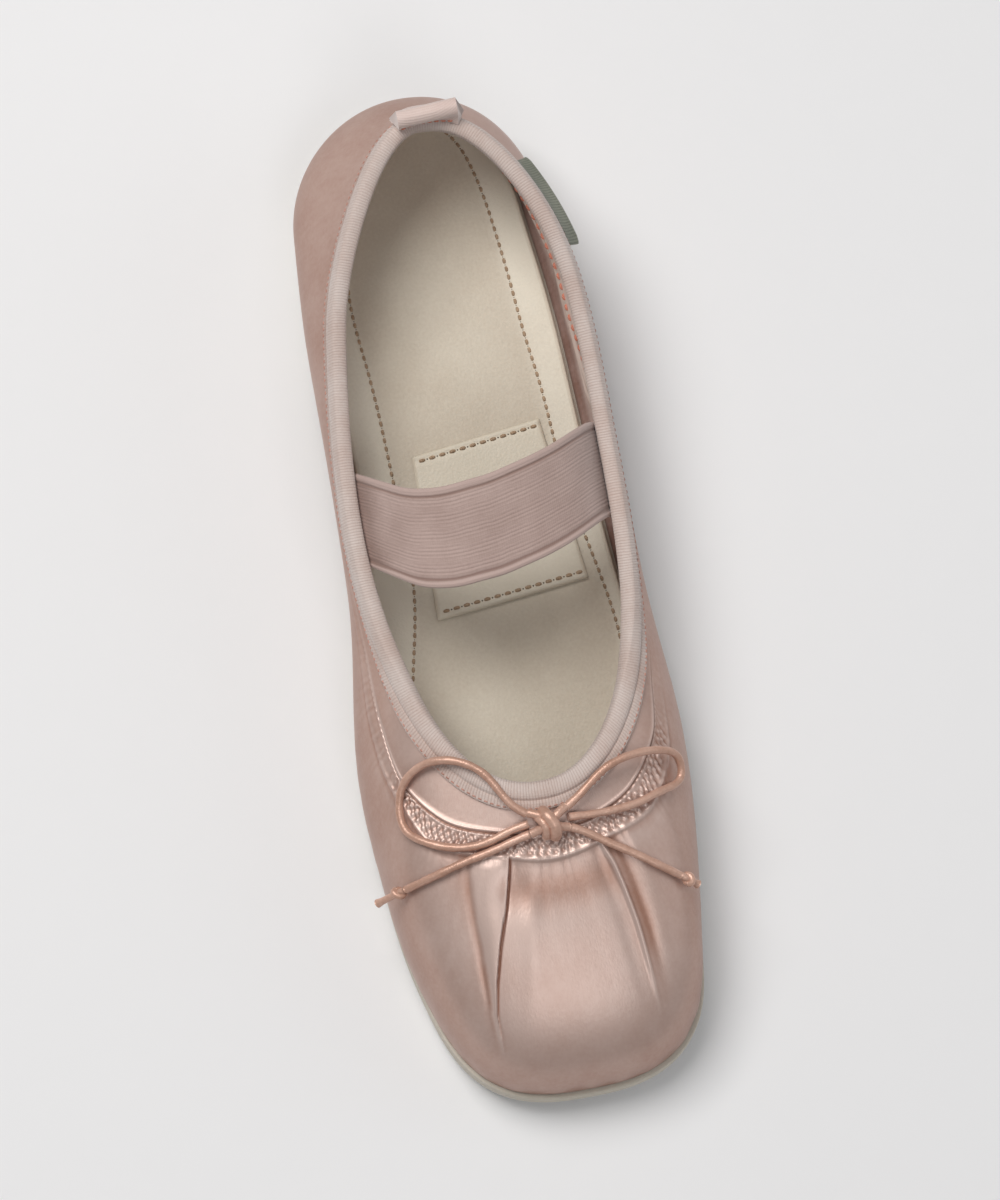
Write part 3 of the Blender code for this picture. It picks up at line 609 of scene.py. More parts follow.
def sew_flat(stitches, hole_shade_name, row, stitch_size, stitch_sink, hole_size):
    """Stitches lying on the insole, with a dark blob of painted shade for the needle hole between each two.
    """
    place(stitches, stitched(stitches, row, upright, *stitch_size, stitch_sink), [brown_thread], "insole")
    between = 0.5 * (row[1:] + row[:-1])
    place(hole_shade_name, stitched(hole_shade_name, between, upright, *hole_size, HOLE_SINK), [hole_shade_finish], "insole")


row = evenly(np.concatenate([inner_row[::-1], outer_row]), STITCH_PITCH)
row[:, 2] = bed_height(row[:, 0], row[:, 1])
sew_flat("insole_stitches", "insole_hole_shade", row, STITCH_SIZE, 0.38, HOLE_SIZE)

# Waist pad. A thin four-sided piece of the cover sheet, wider to the toe, sewn
# askew across the insole with a line of stitches along its front and back edges.
PATCH_THICKNESS = 0.0008
PATCH_LENGTH = 0.0425
PATCH_STATION = 0.426
PATCH_SKEW = 0.0042
PATCH_TOE_WIDTH, PATCH_TOE_MIDDLE = 0.0395, 0.0050
PATCH_HEEL_WIDTH, PATCH_HEEL_MIDDLE = 0.0335, 0.0033
PATCH_SEAM_INSET = 0.0018
PATCH_STITCH_PITCH = 0.0027
PATCH_STITCH_SIZE = (0.0018, 0.00095)  # length, thickness
PATCH_HOLE_SIZE = (0.0006, 0.00060)


def pad_point(u, v, lift):
    """A point on the pad at shares across it and along it to the heel, raised by lift."""
    wide = PATCH_TOE_WIDTH * (0.5 - v) + PATCH_HEEL_WIDTH * (0.5 + v)
    x = PATCH_TOE_MIDDLE * (0.5 - v) + PATCH_HEEL_MIDDLE * (0.5 + v) + u * wide
    y = (0.5 - PATCH_STATION) * SOLE_LENGTH + v * PATCH_LENGTH + u * PATCH_SKEW
    plain = sole_top(0.5 - y / SOLE_LENGTH) + FIT_GAP + INSOLE_THICKNESS
    plain = plain + INSOLE_CUP * np.abs(x / (0.39 * BALL_WIDTH)) ** 2.5
    return np.stack([x, y, plain + FIT_GAP + lift], -1)


u, v = np.meshgrid(np.linspace(-0.5, 0.5, 73), np.linspace(-0.5, 0.5, 81), indexing="ij")
rim = np.minimum((0.5 - np.abs(u)) * PATCH_HEEL_WIDTH, (0.5 - np.abs(v)) * PATCH_LENGTH)
seam_row = np.exp(-(((0.5 - np.abs(v)) * PATCH_LENGTH - PATCH_SEAM_INSET) / 0.0006) ** 2)
lift = PATCH_THICKNESS * np.clip(rim / 0.0006, 0, 1) ** 0.5 - 0.00022 * seam_row
upper_face = pad_point(u, v, lift)
lower_face = pad_point(u, v, 0 * u - 0.0003)
pad_grid = np.concatenate([upper_face, lower_face[:, ::-1]], 1)
plain_map = np.zeros((pad_grid.shape[0], pad_grid.shape[1] + 1))
pad_mesh = skin_mesh("waist_pad", pad_grid, plain_map, plain_map, around=False, closed=True)
pad_cover, tree, shader = finish_of("pad cover", 0.52, Specular_IOR_Level=0.42)
coloured(tree, shader, (0.765, 0.710, 0.590), (0.65, 0.585, 0.465), 0.022, 0.0008, 0.5)
grain = wire(tree, "ShaderNodeTexVoronoi", Vector=spot_on(tree), Scale=1500.0)
bumped(tree, shader, grain.outputs["Distance"], 0.00006)
place("waist_pad", pad_mesh, [pad_cover], "insole", "insole_patch")

for k, end_v in enumerate((-0.5, 0.5)):
    u = np.linspace(-0.47, 0.47, 60)
    v = np.full(60, end_v - math.copysign(PATCH_SEAM_INSET / PATCH_LENGTH, end_v))
    row = evenly(pad_point(u, v, PATCH_THICKNESS - 0.00015), PATCH_STITCH_PITCH)
    sew_flat("pad_stitches_%d" % k, "pad_holes_%d" % k, row, PATCH_STITCH_SIZE, 0.36, PATCH_HOLE_SIZE)

# Upper. Pink satin lasted over a square toe: a smooth collar band stitched over
# a gathered vamp, two long pleats running to the toe, and a satin lining that
# hangs in soft folds inside the walls.
TOPLINE_BACK = 0.0595
TOPLINE_SIDE = 0.0422
TOPLINE_THROAT = 0.0440
THROAT_STATION = 0.722
COLLAR_BACK_INSET = 0.0155
SEAM_STEP = 0.0005

# Half widths of the opening's edge, as shares of BALL_WIDTH.
# station, inner side, outer side
TOPLINE = (
    (-0.02, 0.240, 0.250),
    (0.12, 0.292, 0.340),
    (0.25, 0.365, 0.410),
    (0.38, 0.417, 0.420),
    (0.50, 0.417, 0.412),
    (0.60, 0.374, 0.378),
    (0.72, 0.357, 0.340),
)
COLLAR_CAP = 0.180
COLLAR_POWER = (1.85, 2.4)  # inner side, outer side
THROAT_CAP, THROAT_POWER = 0.194, 2.15

# How each wall leaves the sole and reaches the opening, as shares of BALL_WIDTH.
# station, bulge past the sole, rise from the sole, run over the foot, drop from the opening
PROFILE = (
    (-0.02, 0.0880, 0.175, 0.056, 0.200),
    (0.10, 0.0800, 0.175, 0.056, 0.188),
    (0.25, 0.0860, 0.150, 0.050, 0.150),
    (0.42, 0.0800, 0.125, 0.044, 0.138),
    (0.56, 0.0660, 0.150, 0.062, 0.112),
    (0.66, 0.0500, 0.200, 0.112, 0.075),
    (0.78, 0.0350, 0.250, 0.250, 0.075),
    (0.90, 0.0210, 0.288, 0.450, 0.112),
    (1.00, 0.0120, 0.300, 0.525, 0.125),
    (1.05, 0.0120, 0.300, 0.525, 0.125),
)

# Stations where a wall column still stands straight across; past the last they fan over the vamp.
PAIRED = (0.10, 0.25, 0.42, 0.54)
PAIR_LEAD = 0.012
FAN_BLEND = 0.015

# Where the collar band's seam runs, with the gathered vamp tucked under it.
# share of the girth, distance down from the opening's edge, share of the full step, width of the gathers
SEAM = (
    (0.00, 0.0100, 0.0, 0.0030),
    (0.26, 0.0085, 0.0, 0.0030),
    (0.31, 0.0085, 0.2, 0.0036),
    (0.36, 0.0122, 1.0, 0.0060),
    (0.41, 0.0128, 1.0, 0.0068),
    (0.46, 0.0116, 1.0, 0.0056),
    (0.50, 0.0108, 1.0, 0.0064),
    (0.54, 0.0118, 1.0, 0.0052),
    (0.60, 0.0150, 1.0, 0.0058),
    (0.64, 0.0154, 1.0, 0.0036),
    (0.69, 0.0124, 0.9, 0.0038),
    (0.745, 0.0106, 0.4, 0.0030),
    (0.80, 0.0098, 0.0, 0.0030),
    (1.00, 0.0100, 0.0, 0.0030),
)


def topline_height(s):
    """Height of the opening's edge above the floor."""
    rows = (
        (-0.05, 0.0, 1.00),
        (0.02, 0.0, 1.00),
        (0.12, 0.0, 0.77),
        (0.26, 0.0, 0.26),
        (0.42, 0.0, 0.00),
        (0.56, -0.5, 0.00),
        (0.64, 0.3, 0.00),
        (0.69, 0.65, 0.00),
        (0.72, 1.0, 0.00),
    )
    front = spline(rows, 1, s) * (TOPLINE_THROAT - TOPLINE_SIDE)
    back = spline(rows, 2, s) * (TOPLINE_BACK - TOPLINE_SIDE)
    return TOPLINE_SIDE + front + back


def edge_of(g):
    """Points of the opening's edge at shares g of the girth."""
    g = np.mod(np.asarray(g, float), 1.0)
    outer = g <= 0.5
    k = np.where(outer, g, 1 - g) * 2
    s = np.zeros(len(g))
    x = np.zeros(len(g))
    start = COLLAR_BACK_INSET / SOLE_LENGTH
    for pick, column, sign in ((outer, 2, 1.0), (~outer, 1, -1.0)):
        fs, _, fa = feather_outline(column)
        caps = (COLLAR_CAP, THROAT_CAP, COLLAR_POWER[column - 1], THROAT_POWER)
        ts, tw, ta = half_outline(TOPLINE, column, start, THROAT_STATION, *caps)
        below = [0.0] + [float(np.interp(p, fs, fa)) for p in PAIRED] + [fa[-1]]
        above = [0.0] + [float(np.interp(p + PAIR_LEAD, ts, ta)) for p in PAIRED] + [ta[-1]]
        at = monotone(np.column_stack([below, above]), 1, k[pick] * fa[-1])
        s[pick] = np.interp(at, ta, ts)
        x[pick] = sign * np.interp(at, ta, tw)
    return np.stack([x, (0.5 - s) * SOLE_LENGTH, topline_height(s)], 1)


def wall(g, down):
    """Outer surface of the upper: girth shares g, and per column the distances down from its edge."""
    g = np.asarray(g, float)
    feather, station = feather_line(g)
    edge = edge_of(g)
    profile = np.stack([spline(PROFILE, c, station) for c in (1, 2, 3, 4)], 1) * BALL_WIDTH
    out = plan_normals(g)
    over = unit((feather - edge) * [1, 1, 0] + out * FAN_BLEND)
    low = feather + out * profile[:, 0:1] + upright * profile[:, 1:2]
    high = edge + over * profile[:, 2:3] - upright * profile[:, 3:4]
    down = np.broadcast_to(down, (len(g), np.shape(down)[-1]))
    fine = np.linspace(0, 1, 61)
    ends = np.stack([edge, high, low, feather], 1)

    def curve(t):
        t = t[:, :, None]
        return (
            ends[:, 0:1] * (1 - t) ** 3
            + 3 * ends[:, 1:2] * t * (1 - t) ** 2
            + 3 * ends[:, 2:3] * t**2 * (1 - t)
            + ends[:, 3:4] * t**3
        )

    rough = curve(np.broadcast_to(fine, (len(g), 61)))
    length = np.cumsum(np.linalg.norm(np.diff(rough, axis=1), axis=2), axis=1)
    length = np.concatenate([np.zeros((len(g), 1)), length], 1)
    return curve(np.stack([np.interp(d, l, fine) for d, l in zip(down, length)]))


def column_length(g):
    """Length of each wall column from the edge of the opening to the feather line."""
    points = wall(g, np.linspace(0, 0.2, 401))
    return np.linalg.norm(np.diff(points, axis=1), axis=2).sum(1)


def wall_frames(g, down):
    """Points of the outer surface with their outward normals and their directions down the wall."""
    g = np.asarray(g, float)
    down = np.broadcast_to(down, (len(g), np.shape(down)[-1])).astype(float)
    full = column_length(g)[:, None]
    slope = unit(wall(g, np.minimum(down + 0.0006, full)) - wall(g, np.maximum(down - 0.0006, 0)))
    round_it = wall(g + 0.002, down) - wall(g - 0.002, down)
    return wall(g, down), unit(np.cross(round_it, slope)), slope


def seam_of(g):
    """Distance of the band's seam down each column, strength of its step, and width of the gathers."""
    g = np.mod(np.asarray(g, float), 1.0)
    return [monotone(SEAM, c, g) for c in (1, 2, 3)]


# The two pleats, from the gathers to the toe, and one softer fold beside them.
# distance down, inner pleat's girth share, outer pleat's, soft fold's
PLEATS = (
    (0.0110, 0.5335, 0.4665, 0.5650),
    (0.0170, 0.5328, 0.4645, 0.5620),
    (0.0240, 0.5335, 0.4612, 0.5585),
    (0.0300, 0.5345, 0.4608, 0.5540),
    (0.0400, 0.5375, 0.4612, 0.5475),
    (0.0490, 0.5390, 0.4625, 0.5440),
    (0.0570, 0.5390, 0.4635, 0.5415),
    (0.0650, 0.5360, 0.4641, 0.5400),
    (0.0760, 0.5340, 0.4650, 0.5390),
)


# Heights and pitches of the needlework and the folds.
FOLD_RISE = 0.00030
FOLD_GROOVE = 0.00045
CORDED_PITCH = 0.0016
CORDED_RISE = 0.00032
BEAD_PITCH = 0.0019
BEAD_ROWS = ((0.36, 0.0, 0.00038), (0.60, 2.6, 0.00042), (0.84, 0.9, 0.00034))  # place, phase, height
PUCKER_RISE = 0.00012
INNER_PLEAT_RISE = 0.00105
OUTER_PLEAT_RISE = 0.00100
DRAGS = 30
TROUGH_DEPTH = 0.00085
TOE_PULL_RISE = 0.00012
LINING_FOLDS = 90
LINING_SEAM = 0.0100


def bell(x, width):
    """A soft hump, 1 at its middle."""
    return np.exp(-((x / width) ** 2))


def ease(x):
    """A smooth step from 0 to 1."""
    x = np.clip(x, 0, 1)
    return x * x * (3 - 2 * x)


def wave(along, pitch, phase=0.0):
    """A wave from -1 to 1 with a crest at each pitch."""
    return np.cos(2 * math.pi * along / pitch + phase)


# The satin is read at columns that stand closer together over the vamp, and closest at the pleats.
# girth share, columns for each share of the girth
CLOSENESS = (
    (0.00, 0.8),
    (0.25, 0.9),
    (0.31, 1.9),
    (0.445, 1.9),
    (0.455, 3.6),
    (0.475, 3.6),
    (0.490, 1.9),
    (0.515, 1.9),
    (0.525, 3.6),
    (0.550, 3.6),
    (0.565, 1.9),
    (0.72, 1.9),
    (0.77, 0.9),
    (1.00, 0.8),
)
COLUMNS = 980
even = np.linspace(0, 1, 4001)
close = np.array(CLOSENESS)
total = np.concatenate([[0], np.cumsum(np.interp(0.5 * (even[1:] + even[:-1]), close[:, 0], close[:, 1]))])
girth = np.interp(np.arange(COLUMNS) / COLUMNS, total / total[-1], even)
length = column_length(girth)
seam_down, seam_strength, gather = seam_of(girth)
rows_down = np.concatenate([
    seam_down[:, None] * np.linspace(0, 0.88, 9)[None, :],
    seam_down[:, None] + np.linspace(-0.0010, 0.0002, 5)[None, :],
    seam_down[:, None] + gather[:, None] * np.linspace(0.09, 1.3, 25)[None, :],
    seam_down[:, None] + 1.3 * gather[:, None]
    + (length - seam_down - 1.3 * gather)[:, None] * np.linspace(0, 1, 47)[None, 1:],
], 1)
surface, normal, _ = wall_frames(girth, rows_down)
seam_arc = run_of(wall(girth, seam_down[:, None])[:, 0])[:, None]
past = rows_down - seam_down[:, None]
strength = seam_strength[:, None]
width = gather[:, None]
gap = np.linalg.norm(np.roll(surface, -1, 0) - np.roll(surface, 1, 0), axis=2)
spacing = gap / np.mod(np.roll(girth, -1) - np.roll(girth, 1), 1.0)[:, None]

# The band's folded edge stands over the gathers, which are drawn up in rows of small beads.
wobble = 0.00030 * np.sin(2 * math.pi * seam_arc / 0.0137)
wobble += 0.00022 * np.sin(2 * math.pi * seam_arc / 0.0061 + 1.3)
relief = FOLD_RISE * strength * bell(past + 0.00035, 0.00042)
relief -= FOLD_GROOVE * strength * bell(past - 0.00030, 0.00024)
cord_twist = 0.5 + 0.5 * wave(seam_arc + wobble, CORDED_PITCH)
relief += CORDED_RISE * strength * bell(past - 0.00085, 0.00036) * (0.35 + 0.65 * cord_twist)
relief -= strength * np.where(past > 0, SEAM_STEP * np.clip(1.15 - past / width, 0, 1.0), 0)
front = ease((girth[:, None] - 0.33) / 0.03) * ease((0.665 - girth[:, None]) / 0.03)
for at, phase, size in BEAD_ROWS:
    line = bell(past - at * width - 0.8 * wobble, 0.00050)
    bead = np.clip(wave(seam_arc + 0.7 * wobble, BEAD_PITCH, phase), -0.5, 1.0)
    relief += size * strength * front * line * bead
pucker = 0.6 * wave(seam_arc + 1.6 * wobble, 0.0024) + 0.4 * wave(seam_arc, 0.0041, 0.6)
run_out = ease((past - 0.0012) / 0.0010) * np.exp(-np.clip(past - width, 0, 1) / 0.0030)
relief += PUCKER_RISE * strength * pucker * run_out * (past > 0)
relief += 0.00034 * strength * bell(past - 1.08 * width, 0.0007)
relief -= 0.00016 * strength * bell(past - 1.35 * width, 0.0008)

# The pleats: on the inner side a flap folded over the middle panel, on the outer side a thin ridge
# with a valley beside it.
pleat = np.array(PLEATS)
inner_line, outer_line, soft_line = (np.interp(rows_down, pleat[:, 0], pleat[:, c]) for c in (1, 2, 3))
begun = ease((past - 0.95 * width) / 0.0030)
off = (girth[:, None] - inner_line) * spacing
strip = np.maximum((soft_line - inner_line) * spacing, 0.0018)
fade = begun * (1 - ease((rows_down - 0.044) / 0.026))
flap = np.where(off > 0, 1 - ease(off / strip - 0.15) - 0.30 * bell(off - 1.15 * strip, 0.0011), 0.0)
foot = -0.62 * bell(off + 0.00028, 0.00026) - 0.22 * np.exp(-np.abs(off) / 0.0045) * (off < 0)
near_it = np.abs(off) < 0.016
relief += INNER_PLEAT_RISE * fade * near_it * np.where(off > 0, flap, np.maximum(foot, -0.75))
# Painted light along the flap's strip and painted shade beside it, for the colour.
shading = 0.55 * bell(off - 1.25 * strip, 0.0022) - 0.55 * bell(off - 0.5 * strip, 0.5 * strip)
painted_shading = fade * near_it * np.where(off > 0, shading, 0.0)
off = (outer_line - girth[:, None]) * spacing
fade = begun * (1 - ease((rows_down - 0.040) / 0.026))
near_it = np.abs(off) < 0.018
ridge = 0.75 * bell(off - 0.0002, 0.00065) - 0.55 * bell(off - 0.0030, 0.0019)
ridge -= 0.12 * bell(off + 0.0030, 0.0016)
relief += OUTER_PLEAT_RISE * fade * near_it * ridge
# Painted highlight on the ridge and painted shade in the valley beside it.
shading = 0.95 * bell(off - 0.0026, 0.0016) - 0.95 * bell(off - 0.0001, 0.0006)
shading += 0.2 * bell(off + 0.0016, 0.0008)
painted_shading += fade * near_it * shading

# Soft drags of satin pulled over the last, a shallow trough between the pleats, and faint pulls where
# the satin turns under the toe.
rng = np.random.default_rng(7)
drag = np.zeros_like(past)
for _ in range(DRAGS):
    at = 0.30 + 0.42 * rng.random()
    reach = 0.008 + 0.020 * rng.random()
    begins = 0.004 * rng.random()
    wide = 0.0012 + 0.0016 * rng.random()
    lean = (rng.random() - 0.5) * 0.35
    size = 0.00008 + 0.00010 * rng.random()
    off = (girth[:, None] - at) * spacing + lean * (past - width)
    run = past - width - begins
    drag += size * bell(off, wide) * ease((run + 0.004) / 0.004) * np.exp(-np.clip(run, 0, 1) / reach)
relief += drag * strength
between = ease((girth[:, None] - 0.455) / 0.015) * ease((0.548 - girth[:, None]) / 0.015)
trough = between * bell(past - width - 0.0085, 0.0062)
relief -= TROUGH_DEPTH * trough * ease((past - width) / 0.003)
# Painted shade in the trough between the pleats.
painted_shading += 0.45 * trough
toe_pull = ease((rows_down - length[:, None] + 0.012) / 0.010)
toe_end = bell(girth[:, None] - 0.5, 0.17)
toe_wave = np.cos(2 * math.pi * girth[:, None] * 66 + 0.8 * np.sin(girth[:, None] * 90))
relief += TOE_PULL_RISE * toe_pull * toe_end * toe_wave
keep = ease((length[:, None] - rows_down) / 0.0015)
relief *= np.where(past > 0, keep, 1.0)
outside = surface + normal * relief[:, :, None]


def painted_shade_of(relief, reach, full):
    """Painted shade from how far each point lies in a hollow: from -1, a painted highlight on a ridge, to 1
    in a crease.
    """
    level = relief.copy()
    for _ in range(reach):
        level = 0.25 * np.roll(level, 1, 0) + 0.25 * np.roll(level, -1, 0) + 0.5 * level
        padded = np.pad(level, ((0, 0), (1, 1)), mode="edge")
        level = 0.25 * padded[:, :-2] + 0.5 * level + 0.25 * padded[:, 2:]
    return np.clip((level - relief) / full, -1, 1)



def round_run(run):
    """Lengths round the shoe as a column, with one more step to where the ring closes."""
    return np.append(run, 2 * run[-1] - run[-2])[:, None]


around_u = round_run(seam_arc[:, 0])
rows_v = np.concatenate([rows_down, rows_down[:1]], 0)
upper_mesh = skin_mesh("satin_upper", outside, np.broadcast_to(around_u, rows_v.shape), rows_v)
# Painted shade in the satin's creases and painted highlight on its ridges, with the painted shading of the
# pleats and trough.
add_painted_shade(upper_mesh, np.clip(painted_shade_of(relief, 7, 0.00035) + painted_shading, -1, 1))

# The lining, sewn under the tape and slack behind the strap, where it lies in soft folds along the wall.
# share of the girth, slack
SLACK = (
    (0.00, 0.0004),
    (0.03, 0.0006),
    (0.07, 0.0022),
    (0.13, 0.0028),
    (0.165, 0.0022),
    (0.185, 0.0004),
    (0.80, 0.0004),
    (0.83, 0.0014),
    (0.92, 0.0016),
    (0.97, 0.0006),
    (1.00, 0.0004),
)
LINING_COLUMNS = 900
lining_girth = np.arange(LINING_COLUMNS) / LINING_COLUMNS
lining_length = column_length(lining_girth)
inner_rows = np.linspace(0, 1, 48)[None, :] * lining_length[:, None]
inner_surface, inner_normal, _ = wall_frames(lining_girth, inner_rows)
inner_arc = round_run(run_of(edge_of(lining_girth)))
round_trip = inner_arc[-1, 0]
slack = monotone(SLACK, 1, lining_girth)[:, None]
wrinkle = np.zeros_like(inner_rows)
for _ in range(LINING_FOLDS):
    at = rng.random() * round_trip
    deep = 0.009 + 0.024 * rng.random()
    lean = (rng.random() - 0.5) * 0.5
    reach = 0.008 + 0.018 * rng.random()
    wide = 0.0016 + 0.0020 * rng.random()
    off = np.mod(inner_arc[:-1] - at + 0.5 * round_trip, round_trip) - 0.5 * round_trip
    wrinkle += (rng.random() - 0.35) * bell(inner_rows - deep - lean * off, wide) * bell(off, reach)
wrinkle = np.clip(wrinkle, -1.0, 1.3) * (0.00020 + 0.42 * slack)
held = ease((inner_rows - 0.0015) / 0.005) * ease((lining_length[:, None] - inner_rows) / 0.010)
hang = (slack * bell(inner_rows - 0.0150, 0.0130) + wrinkle) * held
inside = inner_surface - inner_normal * (WALL + np.maximum(hang, -0.0004))[:, :, None]
inside[:, -1, 2] = feather_line(lining_girth)[0][:, 2]
rows_v = np.concatenate([inner_rows, inner_rows[:1]], 0)
lining_mesh = skin_mesh("satin_lining", inside, np.broadcast_to(inner_arc, rows_v.shape), rows_v)
# Painted shade in the lining's folds and, in full, over its lowest part by the insole.
low = ease((inner_rows - lining_length[:, None] + 0.0065) / 0.004)
add_painted_shade(lining_mesh, np.clip(painted_shade_of(wrinkle * held, 10, 0.0002) * (1 - low) + low, -1, 1))

# Satin: long silky threads one way, a fine crossing weave, and painted shade, deeper rose, where it turns
# away or puckers.
threads, start, end = node_group(
    "satin threads",
    (("Along", "NodeSocketFloat", 0.004), ("Across", "NodeSocketFloat", 0.00035)),
    (("Height", "NodeSocketFloat"), ("Slub", "NodeSocketFloat")),
)
lay = wire(threads, "ShaderNodeUVMap", {"uv_map": "cloth"}).outputs[0]
parted = wire(threads, "ShaderNodeSeparateXYZ", Vector=lay)
across_it = maths(threads, "DIVIDE", parted.outputs[0], start.outputs["Across"])
along_it = maths(threads, "DIVIDE", parted.outputs[1], start.outputs["Along"])
stretched = wire(threads, "ShaderNodeCombineXYZ", X=across_it, Y=along_it).outputs[0]
threads.links.new(noise(threads, stretched, 1.0, 2.0), end.inputs["Height"])
threads.links.new(noise(threads, stretched, 0.23, 2.0), end.inputs["Slub"])


def satin_of(name, shade, deep, roughness, gloss, along, across, amount, height, aside=0.0):
    """Woven satin in one colour, with painted shade, deeper by aside, where it turns away from view, and in
    its hollows.
    """
    made, tree, shader = finish_of(
        name, roughness, Specular_IOR_Level=0.60, Metallic=gloss,
        Sheen_Weight=0.12, Sheen_Roughness=0.35, Sheen_Tint=(1.0, 0.90, 0.86, 1),
    )
    silk = group_node(tree, threads, Along=along, Across=across)
    extra = maths(tree, "MULTIPLY", maths(tree, "SUBTRACT", silk.outputs["Slub"], 0.5), 0.25)
    # Painted shade in hollows and painted highlight on ridges, from the mesh's kept values.
    extra = maths(tree, "ADD", extra, maths(tree, "MULTIPLY", painted_shade_in(tree), 0.75))
    # Painted shade where the surface turns away from view, by aside.
    turned = wire(tree, "ShaderNodeLayerWeight", Blend=0.35).outputs["Facing"]
    extra = maths(tree, "ADD", extra, maths(tree, "MULTIPLY", turned, aside))
    coloured(tree, shader, shade, deep, 0.016, 0.0010, amount, extra)
    bumped(tree, shader, silk.outputs["Height"], height)
    return made


satin = satin_of(
    "pink satin", (0.640, 0.480, 0.420), (0.39, 0.205, 0.145), 0.40, 0.40,
    along=0.0012, across=0.00035, amount=0.25, height=0.00004, aside=1.15,
)
lining = satin_of(
    "lining satin", (0.79, 0.65, 0.61), (0.32, 0.190, 0.155), 0.50, 0.10,
    along=0.005, across=0.0003, amount=0.30, height=0.00006,
)
place("satin_upper", upper_mesh, [satin], "upper", "upper")
place("satin_lining", lining_mesh, [lining], "upper")

# Topline binding. A ribbed tape folded over the edge of the opening and sewn
# down near its outer edge.
BINDING_DEPTH = 0.0058
BINDING_THICKNESS = 0.0009
BINDING_CROWN = 0.0011
RIB_PITCH = 0.00070
BINDING_SEAM = 0.90
BINDING_STITCH = (0.0010, 0.0006, 0.00036)  # length, gap, thickness
LINING_STITCH = (0.0019, 0.0008, 0.00090)


def binding_drop(g):
    """Distance down each column that lies one binding depth square in from the opening's edge."""
    g = np.asarray(g, float)
    first = wall(g, np.array([[0.0, 0.5 * BINDING_DEPTH]]))
    down = first[:, 1] - first[:, 0]
    round_it = edge_of(g + 0.002) - edge_of(g - 0.002)
    turn = np.linalg.norm(np.cross(down, round_it), axis=1)
    turn = turn / np.linalg.norm(down, axis=1) / np.linalg.norm(round_it, axis=1)
    return BINDING_DEPTH / np.maximum(turn, 0.35)


girth = np.arange(720) / 720
drop = binding_drop(girth)

# From the sewn edge up to the fold: share of the tape's depth, and puff as a share of its thickness.
share = np.array([1.0, 0.985, 0.95, 0.88, 0.80, 0.72, 0.64, 0.58, 0.55, 0.51, 0.45, 0.34, 0.20, 0.08, 0.0])
leg, leg_normal, leg_slope = wall_frames(girth, drop[:, None] * share)
over = FIT_GAP + BINDING_THICKNESS
back_in = WALL + FIT_GAP
crown = FIT_GAP + BINDING_CROWN
puff = np.array(
    [-0.70, -0.40, -0.28, -0.25, -0.30, -0.25, -0.28, -0.42, -0.50, -0.15, 0.18, 0.34, 0.34, 0.20, 0.0]
) * BINDING_THICKNESS
outer_leg = leg + leg_normal * (over + puff)[None, :, None]
rim, rim_normal, rim_slope = leg[:, -1], leg_normal[:, -1], leg_slope[:, -1]
middle = 0.5 * (over - back_in - BINDING_THICKNESS)
reach = 0.5 * (over + back_in + BINDING_THICKNESS)
turn = np.linspace(0, math.pi, 11)[1:-1]
fold = np.stack([
    rim + rim_normal * (middle + reach * math.cos(a)) - rim_slope * (crown * math.sin(a) ** 0.7) for a in turn
], 1)
inner_leg = leg[:, ::-1] - leg_normal[:, ::-1] * (back_in + BINDING_THICKNESS + puff[::-1])[None, :, None]
inside_face = leg - leg_normal * back_in
outside_face = leg[:, ::-1] + leg_normal[:, ::-1] * FIT_GAP
tape_grid = np.concatenate([outer_leg, fold, inner_leg, inside_face[:, [0, -1]], outside_face[:, [0, -1]]], 1)
step = np.linalg.norm(np.diff(tape_grid, axis=1), axis=2)
across_v = np.concatenate([np.zeros((len(girth), 1)), np.cumsum(step, axis=1)], 1)
across_v = np.concatenate([across_v, across_v[:, -1:] + 0.001], 1)
across_v = np.concatenate([across_v, across_v[:1]], 0)
along_u = np.broadcast_to(round_run(run_of(rim)), across_v.shape)
tape_mesh = skin_mesh("binding_tape", tape_grid, along_u, across_v, closed=True)

# Ribs: rounded cords woven side by side, at a pitch along one way of the cloth, with painted shade between
# them.
ribs, start, end = node_group(
    "woven ribs",
    (("Pitch", "NodeSocketFloat", 0.001), ("Pick", "NodeSocketFloat", 0.0005),
     ("Turn", "NodeSocketFloat", 0.0)),
    (("Height", "NodeSocketFloat"), ("Painted rib shade", "NodeSocketFloat")),
)
lay = wire(ribs, "ShaderNodeUVMap", {"uv_map": "cloth"}).outputs[0]
parted = wire(ribs, "ShaderNodeSeparateXYZ", Vector=lay)
first, second = parted.outputs[0], parted.outputs[1]
turned = start.outputs["Turn"]
shake = maths(ribs, "MULTIPLY", maths(ribs, "SUBTRACT", noise(ribs, spot_on(ribs), 160.0, 2.0), 0.5), 0.0009)
one = wire(ribs, "ShaderNodeMix", {"data_type": "FLOAT"}, i0=turned, i2=first, i3=second).outputs[0]
two = wire(ribs, "ShaderNodeMix", {"data_type": "FLOAT"}, i0=turned, i2=second, i3=first).outputs[0]
cords = maths(ribs, "DIVIDE", maths(ribs, "ADD", one, shake), start.outputs["Pitch"])
swell = maths(ribs, "ABSOLUTE", maths(ribs, "SINE", maths(ribs, "MULTIPLY", cords, math.pi)))
picks = maths(ribs, "DIVIDE", two, start.outputs["Pick"])
weft = maths(ribs, "SINE", maths(ribs, "MULTIPLY", picks, 2 * math.pi))
fuzz = noise(ribs, spot_on(ribs), 2600.0, 2.0)
total = maths(ribs, "ADD", maths(ribs, "POWER", swell, 0.6), maths(ribs, "MULTIPLY", weft, 0.10))
total = maths(ribs, "ADD", total, maths(ribs, "MULTIPLY", fuzz, 0.35))
ribs.links.new(total, end.inputs["Height"])
ribs.links.new(maths(ribs, "SUBTRACT", 1.0, maths(ribs, "POWER", swell, 0.5)), end.inputs["Painted rib shade"])


